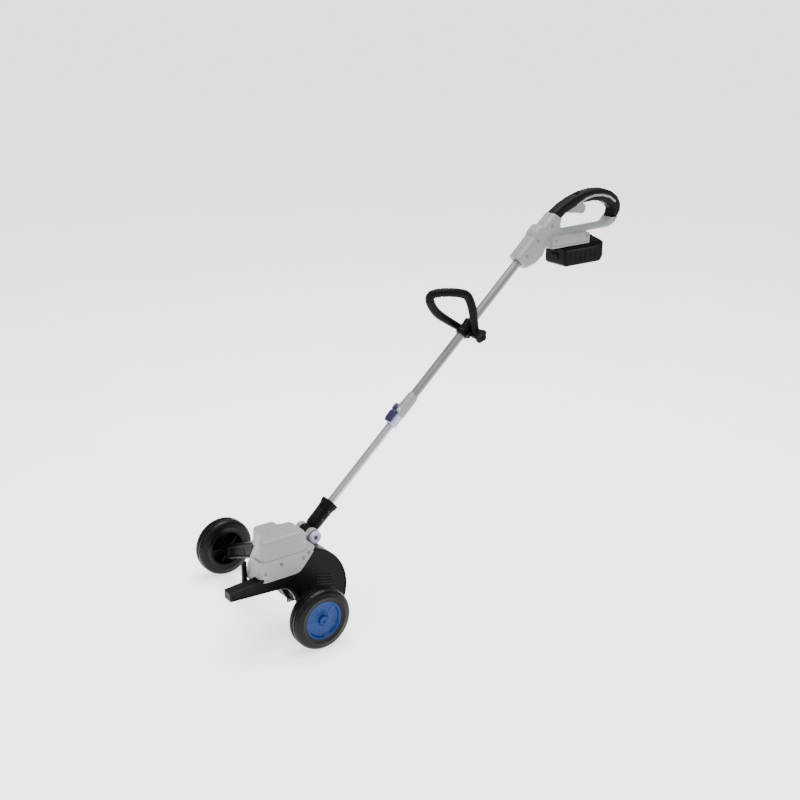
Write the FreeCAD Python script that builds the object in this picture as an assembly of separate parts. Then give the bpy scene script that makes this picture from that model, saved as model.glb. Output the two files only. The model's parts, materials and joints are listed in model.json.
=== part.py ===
import FreeCAD, Part
import math
import os
from FreeCAD import Vector as V

# Battery stick lawn edger, millimetres.
# +X is the way it travels, +Y its left side, +Z up; origin on the ground under its middle.

# ---- wheels and axles
AXLE_X = 389.4
WHEEL_R = 69.0
WHEEL_W = 34.5
WHEEL_Y = 210.5
TYRE_IN_R = 44.0
TYRE_SHOULDER = 8.0
AXLE_R = 5.0
RUN_GAP = 0.04
BUSH_R = 8.0
HUB_BARREL_R = 13.0
HUB_RIM_R = 40.5
HUB_WEB = (6.5, 10.5)
HUB_SPOKES = 5
CAP_R = 11.0

# ---- guard around the blade
GUARD_Y = (100.0, 158.0)
GUARD_WALL = 3.5
HOOD_C = (-1.0, 98.0)
HOOD_R = 106.0
LUG_R = 22.0
SNOUT_Y = 129.0

# ---- blade drive
ARBOR = (-6.0, 84.0)
ARBOR_R = 6.0
ARBOR_Y = (66.0, 147.0)
BLADE_R = 90.0
BLADE_HALF_W = 13.0
BLADE_TILT = 54.0
BLADE_Y = (127.0, 129.6)
FLANGE_R = 16.0
BEARING_R = 14.0
BEARINGS_Y = ((86.0, 94.0), (111.0, 119.0))
NOSE_R = 18.0
NOSE_END = 121.0
CASE_Y = (64.0, 99.4)
CASE_R = 24.0
CASE_WALL = 2.5
MOTOR = (45.0, 226.0)
MOTOR_R = 20.0
MOTOR_Y = (95.0, 151.0)
ROTOR_R = 15.0
ROTOR_SHAFT_R = 2.5
PULLEY_Y = (67.4, 79.6)
SMALL_PULLEY_R = 7.5
BIG_PULLEY_R = 18.0
BELT_T = 2.2
BELT_GAP = 0.3

# ---- motor housing
HOUSE_X = (-30.0, 109.0)
HOUSE_Y = (60.0, 161.0)
HOUSE_Z = (158.0, 206.0)
HOUSE_SPLIT = 110.0
HOUSE_WALL = 2.5
COVER_X = (-10.0, 105.0)
COVER_Y = (88.0, 161.0)
COVER_TOP = 250.0
FACET_POINT = (109.0, 97.0, 165.0)
FACET_OUT = (0.762, -0.533, 0.368)

# ---- arm to the far wheel
ARM_ROOT = (10.0, 176.0)
ARM_ROOT_SIZE = (44.0, 44.0)
ARM_TIP_SIZE = (30.0, 34.0)
ARM_Y = (59.6, -180.0)

# ---- shaft: s runs up along it from the pivot, n is square to it towards the front
SHAFT_Y = 80.0
SHAFT_ANGLE = math.radians(41.6)
PIVOT = (-55.0, 203.0)
PIN_R = 5.0
KNUCKLE_R = 15.0
KNUCKLE_HALF = 14.0
EAR_IN = 14.5
EAR_RIGHT = 28.0
EAR_LEFT = 28.0
EAR_R = 16.5
BUTTON_R = 14.5
BUTTON_TRAVEL = 4.0
SOCKET_R = (17.0, 17.8)
SOCKET_S = (18.0, 66.0, 84.0)
FLARE_R = 20.5
LOWER_R = 8.75
LOWER_S = (24.0, 430.0)
UPPER_R = 10.0
UPPER_S = (340.0, 830.0)
TUBE_WALL = 1.0
LOCK_S = (303.0, 331.0, 390.0)
LOCK_R = (12.6, 13.6)
CAM_AXIS = (341.0, 16.5)
CAM_NOSE_R = 4.6
CAM_PIN_R = 2.5

# ---- front D-loop
CLAMP_S = (557.0, 607.0)
CLAMP_R = 15.0
AUX_AXIS = (588.0, -14.0)
AUX_BOSS_R = 9.0
AUX_BOLT_R = 4.0
AUX_LEG = 24.0
AUX_BAR_R = 8.4
KNOB_R = 15.0
KNOB_LOBES = 5

# ---- rear handle, points measured from the shaft axis at SLEEVE_S
SLEEVE_S = 766.0
SLEEVE_START = 788.0
HANDLE_HALF = 19.5
GRIP_HALF = 16.0
GRIP_SKIN = 3.0
FOOT_HALF = 33.0
TRIGGER_HALF = 6.5
TRIGGER_AXIS = (-160.0, 121.0)
BATTERY_X = (-258.0, -133.0)
BATTERY_Z = (-8.0, 38.6)
BATTERY_HALF = 35.0
CELL_R = 9.0
CELL_L = 65.0

OUT = "parts"
os.makedirs(OUT, exist_ok=True)
COS = math.cos(SHAFT_ANGLE)
SIN = math.sin(SHAFT_ANGLE)
Y_DIR = V(0, 1, 0)
S_DIR = V(-COS, 0, SIN)


def save(name, shape):
    shape.exportStep(os.path.join(OUT, name + ".step"))


def fuse(shapes):
    return shapes[0].fuse(shapes[1:]).removeSplitter() if len(shapes) > 1 else shapes[0]


def group(shapes):
    return Part.makeCompound(shapes)


def head(x, z, y=0.0):
    """A point given forward of the axle."""
    return V(AXLE_X + x, y, z)


def at(s, n, y=0.0):
    """A point along the shaft; y is measured from the shaft's own plane."""
    return V(AXLE_X + PIVOT[0] - s * COS + n * SIN, SHAFT_Y + y, PIVOT[1] + s * SIN + n * COS)


def grip(x, z, y=0.0):
    """A point of the rear handle."""
    return at(SLEEVE_S, 0, y) + V(x, 0, z)


def box(x, y, z):
    return Part.makeBox(x[1] - x[0], y[1] - y[0], z[1] - z[0], V(AXLE_X + x[0], y[0], z[0]))


def grip_box(x, half, z):
    return Part.makeBox(x[1] - x[0], 2 * half, z[1] - z[0], grip(x[0], z[0], -half))


def rod(start, direction, radius, length):
    return Part.makeCylinder(radius, length, start, direction)


def ring(start, direction, outer, inner, length):
    return rod(start, direction, outer, length).cut(rod(start, direction, inner, length))


def cross_rod(centre, radius, y0, y1):
    """A cylinder along Y about a point (x, z) given forward of the axle."""
    return rod(head(centre[0], centre[1], y0), Y_DIR, radius, y1 - y0)


def cross_ring(centre, outer, inner, y0, y1):
    return cross_rod(centre, outer, y0, y1).cut(cross_rod(centre, inner, y0, y1))


def prism(points, y0, y1):
    """An XZ outline of points, carried from y0 to y1."""
    flat = [V(p.x, y0, p.z) for p in points]
    return Part.Face(Part.makePolygon(flat + flat[:1])).extrude(V(0, y1 - y0, 0))


def rounded_box(x, y, z, radius):
    solid = box(x, y, z)
    return solid.makeFillet(radius, [e for e in solid.Edges if abs(e.Length - (z[1] - z[0])) < 0.01])


def revolve_y(points, y_mid, side):
    """A turned part about the axle: (radius, offset outward) points."""
    flat = [V(AXLE_X + r, y_mid + side * h, WHEEL_R) for r, h in points]
    face = Part.Face(Part.makePolygon(flat + flat[:1]))
    return face.revolve(V(AXLE_X, 0, WHEEL_R), Y_DIR, 360)


def tangent_hull(c1, r1, c2, r2, y0, y1):
    """The outline a belt takes round two circles, carried along Y."""
    a = head(c1[0], c1[1], y0)
    b = head(c2[0], c2[1], y0)
    line = b - a
    lean = math.acos((r1 - r2) / line.Length)
    base = math.atan2(line.z, line.x)
    corners = []
    for turn, order in ((lean, 1), (-lean, -1)):
        out = V(math.cos(base + turn), 0, math.sin(base + turn))
        corners += [a + out * r1, b + out * r2][::order]
    return fuse([prism(corners, y0, y1), cross_rod(c1, r1, y0, y1), cross_rod(c2, r2, y0, y1)])


# ---------------------------------------------------------------- wheels
def tyre(side):
    half = WHEEL_W / 2
    blank = cross_rod((0, WHEEL_R), WHEEL_R, side * WHEEL_Y - half, side * WHEEL_Y + half)
    blank = blank.makeFillet(TYRE_SHOULDER, [e for e in blank.Edges if e.Closed])
    return blank.cut(cross_rod((0, WHEEL_R), TYRE_IN_R, side * WHEEL_Y - half, side * WHEEL_Y + half))


def hub(side):
    half = WHEEL_W / 2 - 1.0
    web_in, web_out = HUB_WEB
    points = [(BUSH_R, -half), (HUB_BARREL_R, -half), (HUB_BARREL_R, web_in), (HUB_RIM_R, web_in),
              (HUB_RIM_R, -half), (TYRE_IN_R, -half), (TYRE_IN_R, half), (HUB_RIM_R, half),
              (HUB_RIM_R - 3.0, web_out), (BUSH_R, web_out)]
    disc = revolve_y(points, side * WHEEL_Y, side)
    ribs = []
    low, high = sorted((side * (WHEEL_Y + web_in), side * (WHEEL_Y - half)))
    for i in range(HUB_SPOKES):
        rib = Part.makeBox(HUB_RIM_R - HUB_BARREL_R + 1.0, high - low, 3.0,
                           V(AXLE_X + HUB_BARREL_R - 0.5, low, WHEEL_R - 1.5))
        rib.rotate(V(AXLE_X, 0, WHEEL_R), Y_DIR, 360.0 * i / HUB_SPOKES)
        ribs.append(rib)
    return fuse([disc] + ribs)


def wheel_bush(side):
    inner = WHEEL_Y - WHEEL_W / 2
    outer = WHEEL_Y + HUB_WEB[1]
    low, high = sorted((side * inner, side * outer))
    return cross_ring((0, WHEEL_R), BUSH_R, AXLE_R + RUN_GAP, low, high)


def hub_cap(side):
    base = HUB_WEB[1] + 0.02
    top = WHEEL_W / 2 + 1.5
    points = [(0, top), (CAP_R - 3, top), (CAP_R, top - 2.5), (CAP_R, base), (CAP_R - 2, base),
              (CAP_R - 2, top - 2.5), (0, top - 2.5)]
    return revolve_y(points, side * WHEEL_Y, side)


def near_axle():
    return fuse([cross_rod((0, WHEEL_R), AXLE_R, 154.2, WHEEL_Y + 11.5),
                 cross_rod((0, WHEEL_R), 9.0, 150.5, 153.9),
                 cross_rod((0, WHEEL_R), AXLE_R, 153.8, 154.3)])


def far_axle():
    return fuse([cross_rod((0, WHEEL_R), AXLE_R, -WHEEL_Y - 11.5, -160.0)])


def axle_clips():
    clips = []
    for side in (1, -1):
        low, high = sorted((side * (WHEEL_Y + 10.8), side * (WHEEL_Y + 11.8)))
        clips.append(cross_ring((0, WHEEL_R), 8.0, AXLE_R, low, high))
    return group(clips)


# ---------------------------------------------------------------- guard
def guard_outline():
    """The guard's side view, forward of the axle: hood, snout, and lug down to the near axle."""
    arc = []
    for deg in range(50, 211, 10):
        a = math.radians(deg)
        arc.append(head(HOOD_C[0] + HOOD_R * math.cos(a), HOOD_C[1] + HOOD_R * math.sin(a)))
    low = []
    for deg in range(250, 371, 20):
        a = math.radians(deg)
        low.append(head(LUG_R * math.cos(a), WHEEL_R + LUG_R * math.sin(a)))
    fillet = [head(26, 101), head(35, 117), head(56, 130)]
    snout = [head(180, 137), head(180, 159), head(140, 168)]
    return arc + low + fillet + snout


def guard_hood():
    body = prism(guard_outline(), *GUARD_Y)
    snout_side = box((75, 200), (GUARD_Y[0] - 1, SNOUT_Y), (100, 190))
    inner_y = (GUARD_Y[0] + GUARD_WALL, GUARD_Y[1] - GUARD_WALL)
    cavity = cross_rod(HOOD_C, HOOD_R - GUARD_WALL, *inner_y)
    channel = box((50, 180 - GUARD_WALL), (SNOUT_Y + GUARD_WALL, inner_y[1]), (100, 156))
    front_wall = body.common(box((71.5, 75), (GUARD_Y[0], SNOUT_Y + GUARD_WALL), (138, 180)))
    body = fuse([body.cut(snout_side).cut(fuse([cavity, channel])), front_wall])
    body = body.cut(box((-200, 26), (GUARD_Y[0] - 1, inner_y[0]), (0, ARBOR[1] - NOSE_R - 6)))
    body = body.cut(cross_rod(ARBOR, NOSE_R + 0.3, GUARD_Y[0] - 1, inner_y[0] + 1))
    pivot_room = box((PIVOT[0] - 19, HOUSE_X[0] + 2), (GUARD_Y[0] - 1, 122), (PIVOT[1] - 18.5, 210))
    body = body.cut(pivot_room)
    boss = Part.makeCone(17.0, 12.0, WHEEL_Y - WHEEL_W / 2 - 1.0 - GUARD_Y[1],
                         head(0, WHEEL_R, GUARD_Y[1]), Y_DIR)
    tab = prism([head(110, 138), head(120, 138), head(120, 180), head(110, 190)], 94.0, 99.5)
    bridge = box((110, 120), (94.0, SNOUT_Y + 1.0), (138, 146))
    body = body.fuse([boss, tab, bridge])
    return body.cut(cross_rod((0, WHEEL_R), AXLE_R, 150, 200)).removeSplitter()


def debris_flap():
    """A rubber strip that follows the back of the hood and hangs below it."""
    strip = cross_ring(HOOD_C, HOOD_R + 3.0, HOOD_R + 0.05, 106, 152)
    return strip.common(box((-115, -80), (100, 160), (36, 100)))


# ---------------------------------------------------------------- drive
def drive_case():
    outer = tangent_hull(ARBOR, CASE_R, (22, 158), 30.0, *CASE_Y)
    inner = tangent_hull(ARBOR, CASE_R - CASE_WALL, (22, 158), 30.0 - CASE_WALL, CASE_Y[0] - 1, 84.0)
    above = box((-80, 120), (50, 110), (HOUSE_Z[0] - 0.2, 230))
    nose = cross_rod(ARBOR, NOSE_R, 84.0, NOSE_END)
    solid = fuse([outer.cut(inner).cut(above), nose])
    for y0, y1 in BEARINGS_Y:
        solid = solid.cut(cross_rod(ARBOR, BEARING_R, y0, y1))
    solid = solid.cut(cross_rod(ARBOR, ARBOR_R + 2.0, 80, NOSE_END + 1))
    solid = solid.cut(cross_rod(ARBOR, BEARING_R, BEARINGS_Y[1][1] - 1, NOSE_END + 1))
    return solid.cut(cross_rod(ARBOR, BEARING_R, 83.0, BEARINGS_Y[0][0] + 1))


def belt_cover():
    plate = tangent_hull(ARBOR, CASE_R, (22, 158), 30.0, CASE_Y[0] - 3.0, CASE_Y[0])
    return plate.cut(box((-80, 120), (50, 110), (HOUSE_Z[0] - 0.2, 230)))


def arbor_bearings():
    return group([cross_ring(ARBOR, BEARING_R, ARBOR_R + RUN_GAP, y0, y1) for y0, y1 in BEARINGS_Y])


def arbor():
    shoulder = cross_rod(ARBOR, 8.0, BEARINGS_Y[1][1] + 0.3, NOSE_END + 0.8)
    return fuse([cross_rod(ARBOR, ARBOR_R, *ARBOR_Y), shoulder])


def pulley(centre, radius, bore):
    rim = radius + BELT_T + 0.8
    body = cross_rod(centre, radius, *PULLEY_Y)
    cheeks = [cross_rod(centre, rim, PULLEY_Y[0] - 1.0, PULLEY_Y[0]),
              cross_rod(centre, rim, PULLEY_Y[1], PULLEY_Y[1] + 1.0)]
    return fuse([body] + cheeks).cut(cross_rod(centre, bore, 60, 90))


def drive_belt():
    y0 = PULLEY_Y[0] + 0.4
    y1 = PULLEY_Y[1] - 0.4
    big = BIG_PULLEY_R + BELT_GAP
    small = SMALL_PULLEY_R + BELT_GAP
    loop = tangent_hull(ARBOR, big + BELT_T, MOTOR, small + BELT_T, y0, y1)
    return loop.cut(tangent_hull(ARBOR, big, MOTOR, small, y0 - 1, y1 + 1))


def blade_flange(y0, y1):
    return cross_ring(ARBOR, FLANGE_R, ARBOR_R, y0, y1)


def edger_blade():
    """A bar blade with cranked cutting corners, shown with its long side leaning forward."""
    bar = Part.makeBox(2 * BLADE_R, BLADE_Y[1] - BLADE_Y[0], 2 * BLADE_HALF_W,
                       head(ARBOR[0] - BLADE_R, ARBOR[1] - BLADE_HALF_W, BLADE_Y[0]))
    bar = bar.common(cross_rod(ARBOR, BLADE_R, BLADE_Y[0], BLADE_Y[1]))
    bar = bar.cut(cross_rod(ARBOR, ARBOR_R, BLADE_Y[0] - 1, BLADE_Y[1] + 1))
    for way in (1, -1):
        bar = bar.cut(cross_rod((ARBOR[0] + way * 62, ARBOR[1]), 5.0, BLADE_Y[0] - 1, BLADE_Y[1] + 1))
    bar.rotate(head(ARBOR[0], ARBOR[1]), Y_DIR, -BLADE_TILT)
    return bar


def hex_nut(centre, across, bore, y0, y1):
    corner = across / math.sqrt(3)
    points = []
    for i in range(6):
        a = math.radians(60 * i)
        points.append(head(centre[0] + corner * math.cos(a), centre[1] + corner * math.sin(a)))
    return prism(points, y0, y1).cut(cross_rod(centre, bore, y0 - 1, y1 + 1))


def motor_can():
    shell = cross_rod(MOTOR, MOTOR_R, *MOTOR_Y)
    room = cross_rod(MOTOR, MOTOR_R - 2.0, MOTOR_Y[0] + 4, MOTOR_Y[1] - 4)
    return shell.cut(room).cut(cross_rod(MOTOR, ROTOR_SHAFT_R + RUN_GAP, MOTOR_Y[0] - 1, MOTOR_Y[1] - 1))


def motor_rotor():
    return fuse([cross_rod(MOTOR, ROTOR_SHAFT_R, PULLEY_Y[0] - 1.0, MOTOR_Y[1] - 2.0),
                 cross_rod(MOTOR, ROTOR_R, MOTOR_Y[0] + 10, MOTOR_Y[1] - 12)])


def cooling_fan():
    hub_disc = cross_ring(MOTOR, 6.0, ROTOR_SHAFT_R, 82.5, 90.5)
    blades = []
    for i in range(7):
        blade = Part.makeBox(10.0, 7.0, 1.4, head(MOTOR[0] + 5.0, MOTOR[1] - 0.7, 83.0))
        blade.rotate(head(MOTOR[0], MOTOR[1]), Y_DIR, 360.0 * i / 7)
        blades.append(blade)
    return fuse([hub_disc] + blades)


def controller_board():
    board = box((60, 90), (104, 150), (196, 198))
    parts = [box((64, 72), (108, 120), (198, 204)), box((66, 88), (126, 146), (198, 203))]
    return fuse([board] + parts)


# ---------------------------------------------------------------- motor housing
def beyond_facet(depth):
    """Everything outside the slanted facet at the housing's front right, moved inward by depth."""
    out = V(*FACET_OUT).normalize()
    x, y, z = FACET_POINT
    block = Part.makeBox(400, 400, 200, V(-200, -200, 0))
    block.Placement = FreeCAD.Placement(head(x, z, y) - out * depth, FreeCAD.Rotation(V(0, 0, 1), out))
    return block


def rear_sweep():
    """The near side's lower rear corner, which rises over the guard."""
    edge = [head(18, 161), head(4, 171), head(-6, 181), head(-16, 192), head(-27, 203)]
    return prism([head(-60, 150), head(18, 150)] + edge + [head(-60, 203)], HOUSE_SPLIT, 200.0)


def housing_block(shrink):
    x = (HOUSE_X[0] + shrink, HOUSE_X[1] - shrink)
    y = (HOUSE_Y[0] + shrink, HOUSE_Y[1] - shrink)
    block = rounded_box(x, y, (HOUSE_Z[0] + shrink, HOUSE_Z[1] + (1.0 if shrink else 0.0)), 16.0 - shrink)
    block = block.cut(box((-60, HOUSE_X[0] + 24), (0, 200), (0, HOUSE_Z[0] + 10)))
    return block.cut(beyond_facet(shrink)).cut(rear_sweep())


def hood_room(gap):
    """The space the guard takes inside the housing."""
    slope = [head(0, 60), head(75 + gap, 60), head(75 + gap, 178.2 + gap), head(64, 180 + gap)]
    snout = [head(70, 60), head(112 + gap, 60), head(112 + gap, 172.5 + gap), head(70, 179 + gap)]
    return fuse([cross_rod(HOOD_C, HOOD_R + gap, GUARD_Y[0] - gap, GUARD_Y[1] + gap),
                 prism(slope, GUARD_Y[0] - gap, GUARD_Y[1] + gap),
                 prism(snout, SNOUT_Y - gap, GUARD_Y[1] + gap)])


def housing_shell():
    shell = housing_block(0.0).cut(hood_room(0.4))
    room = housing_block(HOUSE_WALL).cut(hood_room(0.4 + HOUSE_WALL))
    shell = shell.cut(room)
    belt_way = tangent_hull(ARBOR, CASE_R - CASE_WALL, (22, 158), 30.0 - CASE_WALL, CASE_Y[0], 84.0)
    shell = shell.cut(belt_way)
    lid = box(HOUSE_X, HOUSE_Y, (HOUSE_Z[1] - HOUSE_WALL, HOUSE_Z[1]))
    opening = box((COVER_X[0] + 2, COVER_X[1] - 2), (63, COVER_Y[1] - 2), (200, 210))
    lid = lid.common(housing_block(0.0)).cut(opening).cut(hood_room(0.4))
    return shell.fuse(lid)


def housing_half(shell, left):
    y = (HOUSE_SPLIT, 200.0) if left else (0.0, HOUSE_SPLIT)
    half = shell.common(box((-100, 200), y, (100, 260)))
    if left:
        for x in (16, 34, 52, 70):
            vent = box((x, x + 9), (158.5, 165), (176, 180))
            vent.rotate(head(x, 176, 160), Y_DIR, -20)
            half = half.cut(vent)
    return half


def motor_cover():
    """The tall lid over the motor, with a lower hood over the belt's upper end."""
    z = (HOUSE_Z[1] + 0.05, COVER_TOP)
    outer = rounded_box(COVER_X, COVER_Y, z, 12.0)
    outer = outer.makeFillet(7.0, [e for e in outer.Edges if min(v.Z for v in e.Vertexes) > z[1] - 0.01])
    side = rounded_box((18, 72), (61, 100), (z[0], 246), 12.0)
    outer = fuse([outer.cut(beyond_facet(0.0)), side])
    room = rounded_box((COVER_X[0] + 2.5, COVER_X[1] - 2.5), (COVER_Y[0] + 2.5, COVER_Y[1] - 2.5),
                       (z[0] - 1, COVER_TOP - 2.5), 9.5).cut(beyond_facet(2.5))
    side_room = rounded_box((20.5, 69.5), (63.5, 102), (z[0] - 1, 243.5), 9.5)
    return outer.cut(fuse([room, side_room]))


def housing_screws():
    """Four screws in the housing's side and three that hold the guard to the drive case."""
    screws = []
    for x, z in ((4, 190), (58, 190), (98, 178), (-10, 198)):
        screws.append(cross_rod((x, z), 3.2, 161.0, 162.6))
    for x, z in ((-30, 112), (16, 116), (20, 66)):
        screws.append(cross_rod((x, z), 5.0, GUARD_Y[0] + GUARD_WALL, GUARD_Y[0] + GUARD_WALL + 3.5))
    return group(screws)


# ---------------------------------------------------------------- arm to the far wheel
def rect_wire(centre, size, y):
    hx, hz = size[0] / 2, size[1] / 2
    corners = [head(centre[0] - hx, centre[1] - hz, y), head(centre[0] + hx, centre[1] - hz, y),
               head(centre[0] + hx, centre[1] + hz, y), head(centre[0] - hx, centre[1] + hz, y)]
    return Part.makePolygon(corners + corners[:1])


def far_arm():
    root = rect_wire(ARM_ROOT, ARM_ROOT_SIZE, ARM_Y[0])
    tip = rect_wire((0, WHEEL_R), ARM_TIP_SIZE, ARM_Y[1])
    beam = Part.makeLoft([root, tip], True, True)
    boss = cross_rod((0, WHEEL_R), 14.0, ARM_Y[1] - 12.0, ARM_Y[1] + 20)
    solid = fuse([beam, boss]).cut(cross_rod((0, WHEEL_R), AXLE_R, -200, -160))
    return solid


# ---------------------------------------------------------------- shaft pivot
def pivot_yoke():
    yoke = []
    for y0, y1 in ((-EAR_RIGHT, -EAR_IN), (EAR_IN, EAR_LEFT)):
        ear = rod(at(0, 0, y0), Y_DIR, EAR_R, y1 - y0)
        tie = box((PIVOT[0], HOUSE_X[0] - 0.2), (SHAFT_Y + y0, SHAFT_Y + y1), (PIVOT[1] - 16.5, PIVOT[1] + 9.5))
        yoke += [ear, tie]
    yoke.append(box((HOUSE_X[0] - 5.2, HOUSE_X[0] - 0.2), (SHAFT_Y - EAR_RIGHT, SHAFT_Y + EAR_LEFT),
                    (PIVOT[1] - 16.5, PIVOT[1] + 2.0)))
    solid = fuse(yoke).cut(rod(at(0, 0, -40), Y_DIR, PIN_R, 80))
    return solid.cut(rod(at(0, 0, 18.2), Y_DIR, 6.3, 30))


def pivot_pin():
    return rod(at(0, 0, -EAR_RIGHT), Y_DIR, PIN_R, EAR_RIGHT + 18.0)


def pivot_button():
    face = EAR_LEFT + BUTTON_TRAVEL + 0.4
    cap = rod(at(0, 0, face), Y_DIR, BUTTON_R, 6.0)
    cap = cap.makeFillet(2.0, [cap.Edges[0]])
    return fuse([cap, rod(at(0, 0, 22.8), Y_DIR, 6.0, face - 22.7)])


def pivot_socket():
    knuckle = rod(at(0, 0, -KNUCKLE_HALF), Y_DIR, KNUCKLE_R, 2 * KNUCKLE_HALF)
    s0, s1, s2 = SOCKET_S
    neck = rod(at(8, 0), S_DIR, KNUCKLE_HALF - 0.2, s0 - 7.5)
    body = Part.makeCone(SOCKET_R[0], SOCKET_R[1], s1 - s0, at(s0, 0), S_DIR)
    flare = Part.makeCone(SOCKET_R[1], FLARE_R, s2 - s1, at(s1, 0), S_DIR)
    solid = fuse([knuckle, neck, body, flare])
    solid = solid.cut(rod(at(LOWER_S[0], 0), S_DIR, LOWER_R, 100))
    return solid.cut(rod(at(0, 0, -20), Y_DIR, PIN_R + RUN_GAP, 40))


def socket_screws():
    screws = []
    for s in (40.0, 62.0):
        screws.append(rod(at(s, 0, 17.0), Y_DIR, 3.4, 2.4))
    return group(screws)


# ---------------------------------------------------------------- telescoping shaft
def tube(radius, s0, s1):
    return ring(at(s0, 0), S_DIR, radius, radius - TUBE_WALL, s1 - s0)


def lock_ring():
    return ring(at(LOCK_S[0], 0), S_DIR, LOCK_R[0], LOWER_R + RUN_GAP, LOCK_S[1] - LOCK_S[0] - 0.1)


def lock_collar():
    sleeve = rod(at(LOCK_S[1], 0), S_DIR, LOCK_R[1], LOCK_S[2] - LOCK_S[1])
    ears = []
    for y in (-11.0, 7.5):
        ears.append(prism([at(333, 8), at(354, 8), at(349, CAM_AXIS[1] + 4.5), at(335, CAM_AXIS[1] + 4.5)],
                          SHAFT_Y + y, SHAFT_Y + y + 3.5))
    solid = fuse([sleeve.cut(lever_pocket())] + ears)
    solid = solid.cut(rod(at(300, 0), S_DIR, LOWER_R + RUN_GAP, 60))
    solid = solid.cut(rod(at(UPPER_S[0], 0), S_DIR, UPPER_R, 80))
    return solid.cut(rod(at(*CAM_AXIS, -20), Y_DIR, CAM_PIN_R, 40))


def lever_pocket():
    """Flat between the ears that lets the lever lie close to the tube."""
    return prism([at(330, 11.5), at(330, 20), at(349, 20), at(349, 11.5)], SHAFT_Y - 7.5, SHAFT_Y + 7.5)


def cam_pin():
    return rod(at(*CAM_AXIS, -11.0), Y_DIR, CAM_PIN_R, 22.0)


def cam_lever():
    nose = rod(at(*CAM_AXIS, -7.0), Y_DIR, CAM_NOSE_R, 14.0)
    s, n = CAM_AXIS
    blade = prism([at(s, n + 3.6), at(s, n - 3.0), at(s - 12, n - 3.2), at(s - 34, n - 3.2), at(s - 37, n),
                   at(s - 30, n + 3), at(s - 14, n + 4)], SHAFT_Y - 7.0, SHAFT_Y + 7.0)
    tail = prism([at(s - 12, n - 3.2), at(s - 34, n - 3.2), at(s - 37, n), at(s - 30, n + 3),
                  at(s - 12, n + 4)], SHAFT_Y - 12.0, SHAFT_Y + 12.0)
    return fuse([nose, blade, tail]).cut(rod(at(s, n, -20), Y_DIR, CAM_PIN_R + RUN_GAP, 40))


# ---------------------------------------------------------------- front D-loop
def aux_clamp():
    sleeve = rod(at(CLAMP_S[0], 0), S_DIR, CLAMP_R, CLAMP_S[1] - CLAMP_S[0])
    boss = rod(at(*AUX_AXIS, -15.2), Y_DIR, AUX_BOSS_R, 30.4)
    solid = fuse([sleeve, boss]).cut(rod(at(CLAMP_S[0] - 1, 0), S_DIR, UPPER_R, 60))
    return solid.cut(rod(at(*AUX_AXIS, -20), Y_DIR, AUX_BOLT_R, 40))


def aux_loop_path():
    """The bar's bends in order, near leg first: (s, n, y)."""
    s, n = AUX_AXIS
    return [(s, n, AUX_LEG), (s + 16, n + 27, AUX_LEG), (s + 29, n + 48, AUX_LEG), (s + 39, n + 70, AUX_LEG - 1),
            (s + 43, n + 88, 20.0), (s + 33, n + 107, 15.0), (s + 16, n + 126, 5.0), (s + 1, n + 137, -7.0),
            (s - 11, n + 140, -14.0), (s - 19, n + 130, -18.0), (s - 23, n + 108, -21.0), (s - 22, n + 84, -AUX_LEG + 1),
            (s - 15, n + 54, -AUX_LEG), (s, n, -AUX_LEG)]


def aux_loop():
    points = [at(*p) for p in aux_loop_path()]
    pieces = []
    for a, b in zip(points, points[1:]):
        pieces.append(rod(a, b - a, AUX_BAR_R, (b - a).Length))
    for p in points[1:-1]:
        pieces.append(Part.makeSphere(AUX_BAR_R, p))
    s, n = AUX_AXIS
    for y in (AUX_LEG, -AUX_LEG):
        pieces.append(rod(at(s, n, y - 8.4), Y_DIR, 11.0, 16.8))
    bar = fuse(pieces)
    trim = rod(at(s, n, -AUX_LEG + 8.4), Y_DIR, 13.0, 2 * AUX_LEG - 16.8)
    return bar.cut(trim).cut(rod(at(s, n, -50), Y_DIR, AUX_BOLT_R + RUN_GAP, 100))


def aux_bolt():
    start = -AUX_LEG - 12.0
    shank = rod(at(*AUX_AXIS, start), Y_DIR, AUX_BOLT_R, 2 * AUX_LEG + 30.0)
    return fuse([shank, rod(at(*AUX_AXIS, start - 0.4), Y_DIR, 7.0, 3.6)])


def aux_knob():
    base = AUX_LEG + 8.8
    body = rod(at(*AUX_AXIS, base), Y_DIR, KNOB_R - 4.0, 16.0)
    lobes = []
    for i in range(KNOB_LOBES):
        a = 2 * math.pi * i / KNOB_LOBES
        spot = (AUX_AXIS[0] + (KNOB_R - 5.0) * math.cos(a), AUX_AXIS[1] + (KNOB_R - 5.0) * math.sin(a))
        lobes.append(rod(at(spot[0], spot[1], base + 3.0), Y_DIR, 5.0, 13.0))
    return fuse([body] + lobes).cut(rod(at(*AUX_AXIS, 0), Y_DIR, AUX_BOLT_R + RUN_GAP, AUX_LEG + 18.5))


# ---------------------------------------------------------------- rear handle
GRIP_OUTER = [(-113, 119), (-140, 136), (-170, 149), (-205, 159), (-240, 163), (-272, 161),
              (-300, 152), (-320, 138), (-331, 120), (-331, 103), (-322, 88)]
GRIP_INNER = [(-296, 90), (-301, 98), (-303, 108), (-295, 118), (-272, 130), (-240, 135),
              (-210, 133), (-180, 126), (-152, 115), (-136, 103)]
LOWER_OUTER = [(-306, 72), (-290, 66), (-214, 66), (-214, 40), (-88, 40), (-80, 23), (-59, 8)]
OPEN_LOWER = [(-133, 90), (-140, 78), (-160, 76), (-280, 78), (-290, 82)]


def grip_points(pairs):
    return [grip(x, z) for x, z in pairs]


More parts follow.
